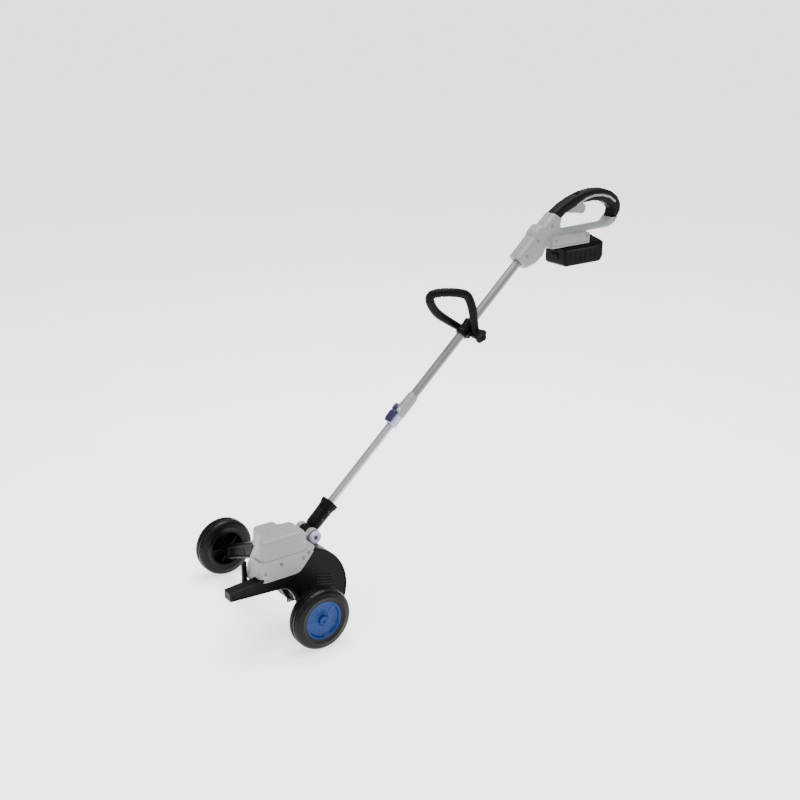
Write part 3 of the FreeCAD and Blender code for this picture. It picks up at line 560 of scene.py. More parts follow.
def wheel(name, side, hub_mat, body):
    """A tyre, a dished hub with five ribs behind it, and a cap; side is 1 for the left wheel."""
    middle = (AXLE_X, side * WHEEL_Y, WHEEL_R)
    out = (0, side, 0)
    half = WHEEL_W / 2
    # tread: three bands between grooves, shoulders broken into blocks, a raised ring on each wall
    tread = [(44.0, 0.6), (46.0, 0.2), (50.0, 0.2), (51.0, -0.5), (54.0, -0.5), (55.0, 0.2), (60.5, 0.4),
            (65.2, 2.6), (67.6, 6.2), (68.7, 9.6), (67.2, 10.2), (67.2, 11.6), (69.0, 12.2),
            (69.0, half - 1.1), (67.4, half - 0.7)]
    tread = [(r, h - half) for r, h in tread]
    profile = tread + [(r, 4.0 - h) for r, h in reversed(tread)]

    def blocks(k, r, h, i):
        return (r - 0.6, h) if k in (8, 9, 20, 21) and i % 6 == 0 else (r, h)

    piece(turned(name + "_tyre_tread", profile, middle, out, (1, 0, 0), 216, blocks, 38.0), body,
            "tyre_rubber", [name + "_tyre"])
    hub = [(8.0, 1 - half), (13.0, 1 - half), (13.0, 6.5), (38.5, 6.5), (40.5, 4.5), (40.5, 1 - half),
            (44.0, 1 - half), (44.0, half - 1.2), (43.2, half - 0.2), (41.0, half - 0.2), (39.6, half - 1.4),
            (37.4, 10.6), (33.0, 9.6), (24.0, 10.2), (17.0, 11.4), (15.2, 12.6), (13.4, 12.8), (12.6, 11.0),
            (8.0, 11.0)]

    def petals(k, r, h, i):
        return (r, h + 0.9) if k in (11, 12, 13) and i % 18 < 3 else (r, h)

    hub = [(r, h + HUB_PROUD if h > 7.0 else h) for r, h in hub]
    disc = turned(name + "_hub_disc", hub, middle, out, (1, 0, 0), 90, petals, 32.0)
    piece(disc, body, hub_mat, [name + "_hub"])
    for i in range(5):
        a = 2.0 * math.pi * i / 5
        rib = [(13.2, -half + 2.5), (40.2, -half + 7.0), (40.2, 6.4), (13.2, 6.4)]
        u = Vector((math.cos(a), 0, math.sin(a)))
        w = Vector((-math.sin(a), 0, math.cos(a)))
        ring = [Vector(middle) + u * r + Vector(out) * h for r, h in rib]
        verts = [(p + w * t) * MM for t in (-1.5, 1.5) for p in ring]
        made = built(f"{name}_hub_rib_{i}", verts, closed_rings(2, 4))
        soften(made, 0.5)
        piece(made, body, hub_mat)
    cap = [(0.0, 13.2), (4.0, 13.4), (5.2, 16.2), (8.2, 16.6), (9.8, 15.4), (10.9, 12.8), (11.0, 10.6),
            (9.0, 10.6), (9.0, 12.0), (0.0, 11.6)]
    cap = [(r, h + 1.5 + HUB_PROUD if h > 12.5 else h) for r, h in cap]
    piece(turned(name + "_centre_cap", eased(cap, 0.6), middle, out, (1, 0, 0), 64, None, 45.0), body,
            hub_mat, [name + "_hub_cap"])


def soften(made, width):
    """Rounds the sharp edges by width."""
    mod = made.modifiers.new("round", "BEVEL")
    mod.width = width * MM
    mod.segments = 3
    mod.limit_method = "ANGLE"
    mod.angle_limit = math.radians(28)
    mod.use_clamp_overlap = True
    bake(made)
    tidy_normals(made, 40.0)


wheel("near", 1, "blue_plastic", "near_wheel")
wheel("far", -1, "black_plastic", "far_wheel")


# ---- guard
GUARD_Y = (100.0, 158.0)


def guard_points():
    """Side view of the guard: the hood, the axle boss below it, and the snout."""
    hood = arc(HOOD_C, HOOD_R, 50, 211, 5)
    low = arc((0, WHEEL_R), 22, 250, 371, 10)
    fillet = head_points((24.5, 92), (28.5, 105), (36, 117), (45, 125.5), (56, 130))
    return hood + low + fillet + head_points((180, 137), (180, 157), (109, 163), (92, 168))


def guard():
    """The hood with its snout, bead, ribs, axle boss and front tab."""
    g = Space((AXLE_X - 112, 92, 44), (AXLE_X + 184, 195, 206), COARSE)
    centre = flat_head(*HOOD_C)
    d2 = outline(g.x, g.z, guard_points())
    d = slab(d2, g.y, *GUARD_Y, 3.2)
    d = cut(d, brick(g, (75, 220), (60, 129), (100, 190)), 1.0)
    room = post(g, centre, HOOD_R - 3.5, 103.5, 154.5, 3.0)
    tunnel = head_points((50, 100), (176.5, 100), (176.5, 153.5), (109, 159.5), (50, 162))
    room = join(room, plate(g, tunnel, 132.5, 154.5, 1.5), 2.0)
    d = cut(d, room, 0.6)
    wall = meet(slab(d2, g.y, *GUARD_Y, 1.0), brick(g, (71.5, 75), (100, 132.5), (138, 180), 0.5))
    d = join(d, wall, 0.8)
    d = cut(d, brick(g, (-200, 26), (90, 103.5), (0, 60)), 0.6)
    d = cut(d, brick(g, (15, 60), (90, 103.5), (40, 122)), 2.0)
    d = cut(d, post(g, flat_head(*ARBOR), 18.3, 98, 105))
    d = cut(d, brick(g, (-74, -28), (90, 122), (184.5, 215)), 0.6)
    # rolled bead along the outer edge, raised ribs above the wheel, and the boss that carries the axle
    edge = slab(np.abs(d2 + 3.6) - 1.7, g.y, 157.0, 159.4, 0.9)
    d = join(d, meet(edge, 62.0 - g.z), 1.2)
    for i in range(6):
        a = flat_head(-28, 139.5 - 7.4 * i)
        b = flat_head(-66 - (3 - abs(i - 3)) * 3, 127.6 - 7.4 * i)
        d = join(d, bead(g, (a[0], 157.6, a[1]), (b[0], 157.6, b[1]), 1.5), 1.0)
    taper = around(g, flat_head(0, WHEEL_R)) - (17.0 - 5.0 * (g.y - 158.0) / 34.0)
    d = join(d, slab(taper, g.y, 150.0, WHEEL_Y - WHEEL_W / 2 - 1.2, 0.8), 4.0)
    for turn in range(6):
        a = math.radians(60 * turn + 20)
        ends = [(AXLE_X + r * math.cos(a), y, WHEEL_R + r * math.sin(a)) for r, y in ((10, 160), (20, 158))]
        d = join(d, bead(g, *ends, 1.6), 1.2)
    tab = plate(g, head_points((110, 138), (120, 138), (120, 180), (110, 190)), 94, 103.5, 1.6)
    tab = join(tab, brick(g, (110, 120), (94, 131), (138, 146), 1.2), 2.0)
    d = join(d, tab, 1.5)
    d = cut(d, post(g, (AXLE_X, WHEEL_R), 5.0, 150, 200))
    piece(skin("blade_guard", g, d), "head", "black_plastic", ["guard_hood"])


guard()


# ---- motor housing
def plan_box(g, x, y, r):
    """Distance to a rectangle seen from above, its corners rounded by r."""
    return corner(between(g.hx, *x), between(g.y, *y), r)


def facet(g, depth):
    """Height above the slanted facet at the front right, negative inside the housing."""
    return (g.hx - 109) * 0.762 - (g.y - 97) * 0.533 + (g.z - 165) * 0.368 + depth


HOUSE_X = (-30, 109)
HOUSE_Y = (60, 161)
HOUSE_TOP = 206
HOUSE_SEAM_Y = 110.0
HOUSE_SCREWS = ((4, 190), (58, 190), (98, 178), (-10, 198))


def house_plan(g, shrink=0.0):
    sides = [(low + shrink, high - shrink) for low, high in (HOUSE_X, HOUSE_Y)]
    return plan_box(g, *sides, 16 - shrink)


def house_block(g, shrink):
    """The housing's outer form, or its inner one when shrunk by a wall."""
    d = house_plan(g, shrink)
    d = slab(d, g.z, 158 + shrink, HOUSE_TOP + (1 if shrink else 0), 3.0 - shrink)
    d = cut(d, brick(g, (-60, -6), (0, 200), (0, 168)), 1.0)
    d = meet(d, facet(g, shrink), 4.0 if shrink else 6.0)
    sweep = [(-60, 150), (22, 150), (18, 157.5), (10, 162.5), (4, 168.5), (-6, 180), (-16, 191.5), (-27, 203),
            (-60, 203)]
    rear = slab(outline(g.x, g.z, head_points(*sweep)) - shrink, g.y, 110.0 - shrink, 220.0)
    return cut(d, rear, 1.2)


def guard_room(g, gap):
    """The guard's form with a gap round it, for the housing to be cut by."""
    slope = head_points((0, 60), (75 + gap, 60), (75 + gap, 178.2 + gap), (64, 180 + gap))
    snout = head_points((70, 60), (112 + gap, 60), (112 + gap, 163 + gap), (92, 168.2 + gap), (70, 179 + gap))
    d = post(g, flat_head(*HOOD_C), HOOD_R + gap, 100 - gap, 158 + gap)
    d = join(d, plate(g, slope, 100 - gap, 158 + gap))
    return join(d, plate(g, snout, 129 - gap, 158 + gap))


def housing():
    """Two hollow shells over the guard, with a lid rim, a lip below, faint lines and screw recesses."""
    g = Space((AXLE_X - 33, 58, 146), (AXLE_X + 112, 164, 209), COARSE)
    d = cut(house_block(g, 0.0), guard_room(g, 0.4), 0.8)
    d = cut(d, cut(house_block(g, 2.5), guard_room(g, 2.9)))
    lid = meet(slab(house_plan(g), g.z, 203.2, HOUSE_TOP, 0.6), facet(g, 0.0), 6.0)
    opening = meet(slab(plan_box(g, (-7, 102), (63, 158), 8), g.z, 200, 210), facet(g, 3.0), 4.0)
    d = join(d, cut(cut(lid, opening), guard_room(g, 0.4)), 0.8)
    lip = slab(np.abs(house_plan(g) + 0.2) - 1.5, g.z, 158.2, 162.4, 0.9)
    lip = cut(cut(lip, brick(g, (-60, 24), (0, 200), (0, 170))), guard_room(g, 0.5))
    lip = cut(lip, brick(g, (-60, 120), (0, 112), (0, 240)))
    d = join(d, lip, 1.2)
    d = join(d, brick(g, (105.8, 108.8), (98, 128.4), (148.5, 160), 1.2), 1.5)
    belt = head_points((-30, 80), (18, 80), (49.5, 158), (22, 185), (-8, 158))
    d = cut(d, plate(g, belt, 55, 84))
    for z in (186, 193):
        d = cut(d, slab(rect(g.hx, g.z, (14, 86), (z - 0.5, z + 0.5)), g.y, 160.5, 166, 0.4), 1.0)
    for x, z in HOUSE_SCREWS:
        d = cut(d, post(g, flat_head(x, z), 4.2, 159.8, 166), 0.8)
    two_shells("housing", g, d, HOUSE_SEAM_Y, 0.35, 0.9, "head", "grey_shell")


def cover():
    """The tapered motor cover: a crown, and a hood at its right side."""
    g = Space((AXLE_X - 13, 59, 204), (AXLE_X + 108, 164, 252), COARSE)
    rise = (g.z - HOUSE_TOP) * 0.06
    tall = plan_box(g, (-10, 105), (88, 161), 15) + rise
    crown = slab(tall, g.z, 185.0, 250, 9.0)
    side = slab(plan_box(g, (18, 76), (61, 128), 13) + rise, g.z, 185.0, 246, 6.0)
    d = join(meet(crown, facet(g, 0.0), 6.0), side, 9.0)
    d = meet(d, HOUSE_TOP + 0.05 - g.z)
    inner = slab(plan_box(g, (-6.5, 101), (91.5, 157), 11) + rise, g.z, 195, 245.5, 6.0)
    inner = meet(inner, facet(g, 6.5), 3.0)
    inner = join(inner, slab(plan_box(g, (21.5, 72), (64.5, 102), 10) + rise, g.z, 195, 242.0, 4.0))
    d = cut(d, inner)
    # moulding step round the crown, faint lines on its side, and low ridges on top
    step = meet(np.abs(g.z - 212.5) - 0.6, -(tall + 0.5))
    d = cut(d, meet(step, facet(g, 4.0)), 0.9)
    for z in (222, 229, 236):
        line = brick(g, (8, 88), (157.2, 166), (z - 0.6, z + 0.6), 0.5)
        d = cut(d, meet(line, -(tall + 0.5)), 1.2)
    for x in (14, 32, 50, 68):
        d = join(d, bead(g, (AXLE_X + x, 112, 249.6), (AXLE_X + x, 148, 249.6), 1.4), 3.0)
    piece(skin("motor_cover_shell", g, d), "head", "grey_shell", ["motor_cover"])


housing()
cover()


# ---- arm to the far wheel and belt case
ARM_LIMITS = (-180.0, 59.6)


def arm():
    """Tapering beam from the housing down to the far axle, pocketed front and back between four ribs."""
    g = Space((AXLE_X - 20, -196, 50), (AXLE_X + 34, 62, 200), COARSE)
    t = (ARM_LIMITS[1] - g.y) / (ARM_LIMITS[1] - ARM_LIMITS[0])
    u = np.abs(g.hx - (10.0 - 10.0 * t))
    v = np.abs(g.z - (176.0 - 107.0 * t))
    a = u - (22.0 - 7.0 * t)
    b = v - (22.0 - 5.0 * t)
    d = slab(corner(a, b, 6.0) * 0.92, g.y, *ARM_LIMITS, 1.5)
    d = join(d, post(g, (AXLE_X, WHEEL_R), 14.0, -192.0, -160.0, 1.2), 6.0)
    pocket = meet(np.abs(a) - 2.4, v - (13.5 - 4.0 * t))
    pocket = meet(pocket, np.abs(g.y + 60.0) - 98.0)
    d = cut(d, pocket, 2.0)
    for y in (-120, -75, -30, 15):
        d = join(d, meet(np.abs(g.y - y) - 1.4, meet(a, b) + 0.8), 1.2)
    d = cut(d, post(g, (AXLE_X, WHEEL_R), 5.0, -200, -160))
    piece(skin("far_arm_beam", g, d), "head", "battery_plastic", ["far_wheel_arm"])


def belt_case():
    """The flat case over the belt and the arbor's bearings, and its lid with screws and ridges."""
    g = Space((AXLE_X - 36, 59, 54), (AXLE_X + 55, 123, 208), COARSE)
    d2 = outline(g.x, g.z, arc(ARBOR, 24, 159, 340, 10) + arc((22, 158), 30, -20, 161, 10))
    case = slab(d2, g.y, 64.0, 99.4, 1.6)
    case = cut(case, slab(d2 + 2.5, g.y, 50.0, 84.0, 1.0))
    case = join(case, post(g, flat_head(*ARBOR), 18.0, 84, 121, 1.0), 3.0)
    for bore, y0, y1 in ((14.0, 83, 94.2), (14.0, 110.8, 130), (8.0, 60, 130)):
        case = cut(case, post(g, flat_head(*ARBOR), bore, y0, y1))
    piece(skin("belt_case", g, meet(case, g.z - 205.8)), "head", "black_plastic", ["drive_case"])
    lid = slab(d2, g.y, 61.0, 63.9, 1.2)
    ridge = slab(np.abs(d2 + 7.0) - 1.2, g.y, 59.9, 62.5, 0.7)
    lid = join(lid, ridge, 1.0)
    for x, z in ((-6, 84), (-25, 86), (13, 80), (-16, 125), (30, 122), (10, 158)):
        lid = join(lid, post(g, flat_head(x, z), 3.6, 59.9, 62.5, 0.8), 0.8)
        lid = cut(lid, post(g, flat_head(x, z), 1.7, 55, 61.2))
    for i in range(4):
        z = 100 + 11 * i
        lid = join(lid, bead(g, (AXLE_X - 8 + 3 * i, 61.2, z), (AXLE_X + 14 + 3 * i, 61.2, z + 2), 1.3), 0.8)
    piece(skin("belt_case_lid", g, meet(lid, g.z - 205.8)), "head", "black_plastic", ["belt_cover"])


arm()
belt_case()


# ---- shaft pivot
def yoke():
    """Two ears joined by ties and a bridge to the housing's back."""
    g = Space((PIVOT[0] - 19, 50, 183), (AXLE_X - 28, 110, 222), FINE)
    tie = rect(g.x, g.z, (PIVOT[0], AXLE_X - 30.3), (186.5, 212.5))
    ears = [join(post(g, PIVOT, 16.5, *ys, 2.0), slab(tie, g.y, *ys, 2.0), 1.5)
            for ys in ((52.0, 65.5), (94.5, 108.0))]
    d = join(join(*ears), brick(g, (-35.2, -30.2), (52, 108), (186.5, 205), 1.0), 2.5)
    d = cut(d, post(g, PIVOT, 5.0, 40, 120))
    d = cut(d, post(g, PIVOT, 6.4, 98, 120))
    d = cut(d, slab(np.abs(around(g, PIVOT) - 13.0) - 0.8, g.y, 107.2, 112), 0.4)
    piece(skin("pivot_yoke_ears", g, d), "head", "grey_shell", ["pivot_yoke"])


def button():
    """Domed release button on the left ear, with a small mark in its middle."""
    origin = at(0, 0)
    face = 32.4
    dome = [(0.0, 4.4), (6.0, 4.4), (7.6, 5.6), (10.4, 6.0), (13.0, 5.2), (14.4, 3.4), (14.5, 0.6),
            (14.0, 0.0), (6.0, 0.0)]
    cap = [(r, face + h) for r, h in dome] + [(6.0, 22.8), (0.0, 22.8)]
    made = turned("release_button", cap, origin, (0, 1, 0), (1, 0, 0), 72, None, 35.0)
    piece(made, "pivot_button", "lilac_plastic", ["pivot_button"])
    dot = [(r, face + h) for r, h in ((0.0, 4.9), (3.6, 5.0), (4.6, 4.7), (4.9, 4.2), (0.0, 4.0))]
    piece(turned("release_button_mark", dot, origin, (0, 1, 0), (1, 0, 0), 40, None, 50.0), "pivot_button",
            "navy_plastic")


def shaft_space(s0, s1, back, front, half, up, step):
    """Grid round the shaft from s0 to s1, with room behind, in front, beside and above or below it."""
    low = at(s0, 0)
    high = at(s1, 0)
    return Space((high[0] - back, SHAFT_Y - half, low[2] - back),
            (low[0] + front, SHAFT_Y + half, high[2] + up), step)


def socket():
    """The shaft's boot: a ribbed sleeve flared at its top, and the barrel on the pivot pin."""
    g = shaft_space(0, 86, 17, 17, 22, 17, FINE)
    profile = [(16, 0), (16, 14.5), (21, 16.6), (64, 17.4), (70, 17.8), (75, 20.2), (84, 20.6), (84, 0)]
    d = outline(g.s, g.reach, profile + [(84, -30), (16, -30)])
    d = join(d, post(g, PIVOT, 15.0, 66.2, 93.8, 1.5), 2.5)
    d = join(d, meet(meet(g.reach - 13.6, 8 - g.s), g.s - 24), 2.0)
    for s in (27, 33, 39, 45, 51, 57):
        d = cut(d, meet(np.hypot(g.s - s, g.reach - 17.5) - 1.25, g.aside - 12.5), 0.9)
    d = cut(d, meet(g.reach - 8.8, 24 - g.s))
    d = cut(d, post(g, PIVOT, 5.04, 60, 100))
    piece(skin("pivot_socket_boot", g, d), "lower_shaft", "black_plastic", ["pivot_socket"])


yoke()
button()
socket()


# ---- tubes and the length lock
def tube_piece(name, radius, s0, s1, body, mat, nodes):
    """A thin tube from s0 to s1 along the shaft, its ends eased."""
    bore = radius - 1.0
    length = s1 - s0
    profile = [(bore, 0.0), (bore, length), (bore + 0.35, length), (radius - 0.3, length),
            (radius, length - 0.5)]
    profile += [(radius, length * (1 - k / 12)) for k in range(1, 12)]
    profile += [(radius, 0.5), (radius - 0.3, 0.0)]
    made = turned(name, profile, at(s0, 0), (-COS, 0, SIN), (0, 1, 0), 64, None, 50.0)
    piece(made, body, mat, nodes)


def lock():
    """The ribbed lock ring, and the split collar above it with ears for the cam lever."""
    def ribs(k, r, h, i):
        return (r - 0.7, h) if r > 12.0 and i % 4 in (0, 1) and 306 < h < 328 else (r, h)

    ring = [(8.85, 303.0), (11.6, 303.0), (12.4, 303.8), (12.6, 305.4), (12.6, 306.5), (12.6, 327.5),
            (12.6, 329.4), (12.0, 330.7), (8.85, 330.7)]
    made = turned("lock_ring_ribbed", ring, at(0, 0), (-COS, 0, SIN), (0, 1, 0), 96, ribs, 40.0)
    piece(made, "upper_shaft", "lilac_plastic", ["lock_ring"])
    g = shaft_space(331, 392, 14, 20, 16, 20, grid_step(0.7))
    d = outline(g.s, g.reach, [(331, -20), (331, 12.9), (332.2, 13.6), (362, 13.6), (384, 12.8), (389, 11.6),
            (390, 10.6), (390, -20)])
    d = cut(d, plate(g, shaft_points((329, 11.5), (329, 22), (349, 22), (349, 11.5)), 72.5, 87.5), 0.5)
    ear = shaft_points((332, 6), (356, 6), (350, 19.6), (346, 21), (337, 21), (333.5, 19.6))
    for y in (69.0, 87.5):
        d = join(d, plate(g, ear, y, y + 3.5, 1.0), 1.2)
    d = cut(d, meet(g.reach - 8.8, g.s - 345))
    d = cut(d, meet(g.reach - 10.0, 340 - g.s))
    d = cut(d, meet(g.aside - 0.8, 6.0 - g.n), 0.5)
    d = cut(d, post(g, flat_at(*CAM_AXIS), 2.5, 60, 100))
    for s in (368, 374, 380):
        d = cut(d, meet(np.hypot(g.s - s, g.reach - 13.6) - 1.0, -6.0 - g.n), 0.5)
    piece(skin("lock_collar_sleeve", g, d), "upper_shaft", "grey_shell", ["lock_collar"])


def lever():
    """The cam and its blade, wider and ridged towards the tip; points are from the cam's axis."""
    s, n = CAM_AXIS
    low = at(s + 8, n)
    high = at(s - 44, n)
    g = Space((low[0] - 12, 66, high[2] - 12), (high[0] + 12, 94, low[2] + 12), SMALL)
    tip = [(-34, -3.4), (-37, -1), (-36, 0.5), (-30, 3)]
    blade = [(1, 3.2), (0, -3.2), (-12, -3.4)] + tip + [(-14, 4)]
    tail = [(-10, -3.4)] + tip + [(-12, 4)]
    d = plate(g, [flat_at(s + a, n + b) for a, b in blade], 73, 87, 1.8)
    d = join(d, plate(g, [flat_at(s + a, n + b) for a, b in tail], 68.5, 91.5, 3.0), 4.0)
    d = join(d, post(g, flat_at(s, n), 4.6, 73, 87, 0.8), 1.5)
    for k in range(4):
        a, b = (at(s - 17 - 4.2 * k, n + 3.9 - 0.26 * k, y) for y in (-8.0, 8.0))
        d = join(d, bead(g, a, b, 0.8), 0.7)
    d = cut(d, post(g, flat_at(s, n), 2.54, 60, 100))
    piece(skin("cam_lever_grip", g, d), "cam_lever", "navy_plastic", ["cam_lever"])


tube_piece("shaft_lower", 8.75, 24.0, 430.0, "lower_shaft", "tube_lower", ["lower_tube"])
tube_piece("shaft_upper", 10.0, 340.0, 830.0, "upper_shaft", "tube_upper", ["upper_tube"])
lock()
lever()


# ---- front loop
def smooth_path(points, per):
    """A Catmull-Rom curve through the points, in per steps between each two."""
    points = [Vector(p) for p in points]
    done = []
    for i in range(len(points) - 1):
        p0, p1, p2, p3 = points[max(i - 1, 0)], points[i], points[i + 1], points[min(i + 2, len(points) - 1)]
        for k in range(per):
            t = k / per
            curve = (2 * p0 - 5 * p1 + 4 * p2 - p3) * t * t + (3 * p1 - p0 - 3 * p2 + p3) * t ** 3
            done.append(0.5 * (2 * p1 + (p2 - p0) * t + curve))
    return done + [points[-1]]


def loop():
    """The front hand's loop: a swelling bar between two eyes on the clamp's bolt, grooved under the fingers."""
    s, n = AUX_AXIS
    leg = 24.0
    eye = 8.4
    path = [(0, 0, leg), (16, 27, leg), (29, 48, leg), (39, 70, leg - 1), (43, 88, 20.0), (33, 107, 15.0),
            (16, 126, 5.0), (1, 137, -7.0), (-11, 140, -14.0), (-19, 130, -18.0), (-23, 108, -21.0),
            (-22, 84, 1 - leg), (-15, 54, -leg), (0, 0, -leg)]
    line = smooth_path([at(s + a, n + b, y) for a, b, y in path], 4)
    low = [min(p[i] for p in line) - 12 for i in range(3)]
    high = [max(p[i] for p in line) + 12 for i in range(3)]
    g = Space(low, high, COARSE)
    d = None
    for i in range(len(line) - 1):
        along = i / (len(line) - 1)
        bar = bead(g, line[i], line[i + 1], 8.4 + 1.8 * min(1.0, 7.0 * along, 7.0 * (1.0 - along)))
        d = bar if d is None else join(d, bar)
    centre = flat_at(s, n)
    for y in (leg, -leg):
        d = join(d, post(g, centre, 11.0, SHAFT_Y + y - eye, SHAFT_Y + y + eye, 1.6), 3.0)
    d = cut(d, post(g, centre, 13.5, *span(leg - eye)), 0.5)
    for i in range(20, 38, 3):
        p = line[i]
        q = (line[i + 1] - line[i - 1]).normalized()
        x, y, z = g.x - p[0], g.y - p[1], g.z - p[2]
        off = x * q[0] + y * q[1] + z * q[2]
        near = np.sqrt(x ** 2 + y ** 2 + z ** 2)
        d = cut(d, meet(meet(np.abs(off) - 0.8, near - 13.0), 8.5 - near), 0.8)
    d = cut(d, post(g, centre, 4.04, 20, 140))
    piece(skin("front_loop_bar", g, d), "aux_loop", "black_plastic", ["aux_loop"])


def clamp():
    """Split clamp round the upper tube, with the loop's bolt above it and its own screw below."""
    s0, s1 = 567.0, 607.0
    g = shaft_space(s0, s1, 24, 20, 20, 18, FINE)
    d = outline(g.s, g.reach, [(s0, -20), (s0, 14.0), (s0 + 1.2, 15.0), (s0 + 9, 15.0), (s0 + 10.5, 14.2),
            (s1 - 10.5, 14.2), (s1 - 9, 15.0), (s1 - 1.2, 15.0), (s1, 14.0), (s1, -20)])
    d = join(d, post(g, flat_at(*AUX_AXIS), 9.0, *span(15.2), 1.0), 3.0)
    d = cut(d, g.reach - 10.0)
    d = cut(d, meet(g.aside - 0.9, g.n + 6.0), 0.6)
    spot = flat_at(576, -15)
    d = join(d, post(g, spot, 4.6, *span(9.5), 1.0), 2.5)
    d = cut(d, post(g, spot, 2.4, SHAFT_Y + 7.5, SHAFT_Y + 20))
    d = cut(d, g.reach - 10.0)
    d = cut(d, post(g, flat_at(*AUX_AXIS), 4.0, 50, 110))
    piece(skin("loop_clamp", g, d), "upper_shaft", "black_plastic", ["aux_clamp"])


def knob():
    """Five-lobed knob with a dished face."""
    centre = at(*AUX_AXIS)
    base = SHAFT_Y + 32.8
    g = Space((centre[0] - 18, base - 1, centre[2] - 18), (centre[0] + 18, base + 16, centre[2] + 18), SMALL)
    r = around(g, (centre[0], centre[2]))
    lobes = 1.3 * np.cos(5 * np.arctan2(g.z - centre[2], g.x - centre[0]))
    d = slab((r - 15.6 - lobes) * 0.92, g.y, base + 1.4, base + 13.5, 4.0)
    d = join(d, slab(r - 10.5, g.y, base, base + 10, 0.8), 1.0)
    d = cut(d, np.hypot(r, g.y - base - 24.5) - 12.6, 1.2)
    d = cut(d, slab(r - 4.04, g.y, base - 5, base + 9.5))
    piece(skin("loop_knob_lobed", g, d), "aux_knob", "black_plastic", ["aux_knob"])


loop()
clamp()
knob()


# ---- rear handle
GRIP_OUTER = [(-113, 119), (-140, 136), (-170, 149), (-205, 159), (-240, 163), (-272, 161), (-300, 152),
        (-320, 138), (-331, 120), (-331, 103), (-322, 88)]
GRIP_INNER = [(-296, 90), (-301, 98), (-303, 108), (-295, 118), (-272, 130), (-240, 135), (-210, 133),
        (-180, 126), (-152, 115), (-136, 103)]
LOWER_OUTER = [(-306, 72), (-290, 66), (-214, 66), (-214, 40), (-88, 40), (-80, 23), (-59, 8)]
OPEN_LOWER = [(-133, 90), (-140, 78), (-160, 76), (-280, 78), (-290, 82)]
HANDLE_SCREWS = ((-30, 30), (-62, 62), (-104, 92), (-305, 81))
FOOT_SCREWS = ((-106, 60), (-203, 60))
STRIP = [(-186, 131), (-214, 143.5), (-240, 148), (-268, 146), (-292, 139), (-309, 127)]


def grip_space(x, half, z, step):
    """Grid about the shaft's middle plane; x and z are from the grip's origin."""
    return Space((GRIP_O[0] + x[0], SHAFT_Y - half, GRIP_O[1] + z[0]),
            (GRIP_O[0] + x[1], SHAFT_Y + half, GRIP_O[1] + z[1]), step)


def side_line(g, p, q):
    """Distance in the side view to a line between two points."""
    ex, ez = q[0] - p[0], q[1] - p[1]
    wx, wz = g.x - p[0], g.z - p[1]
    t = np.clip((wx * ex + wz * ez) / (ex * ex + ez * ez), 0.0, 1.0)
    return np.hypot(wx - ex * t, wz - ez * t)


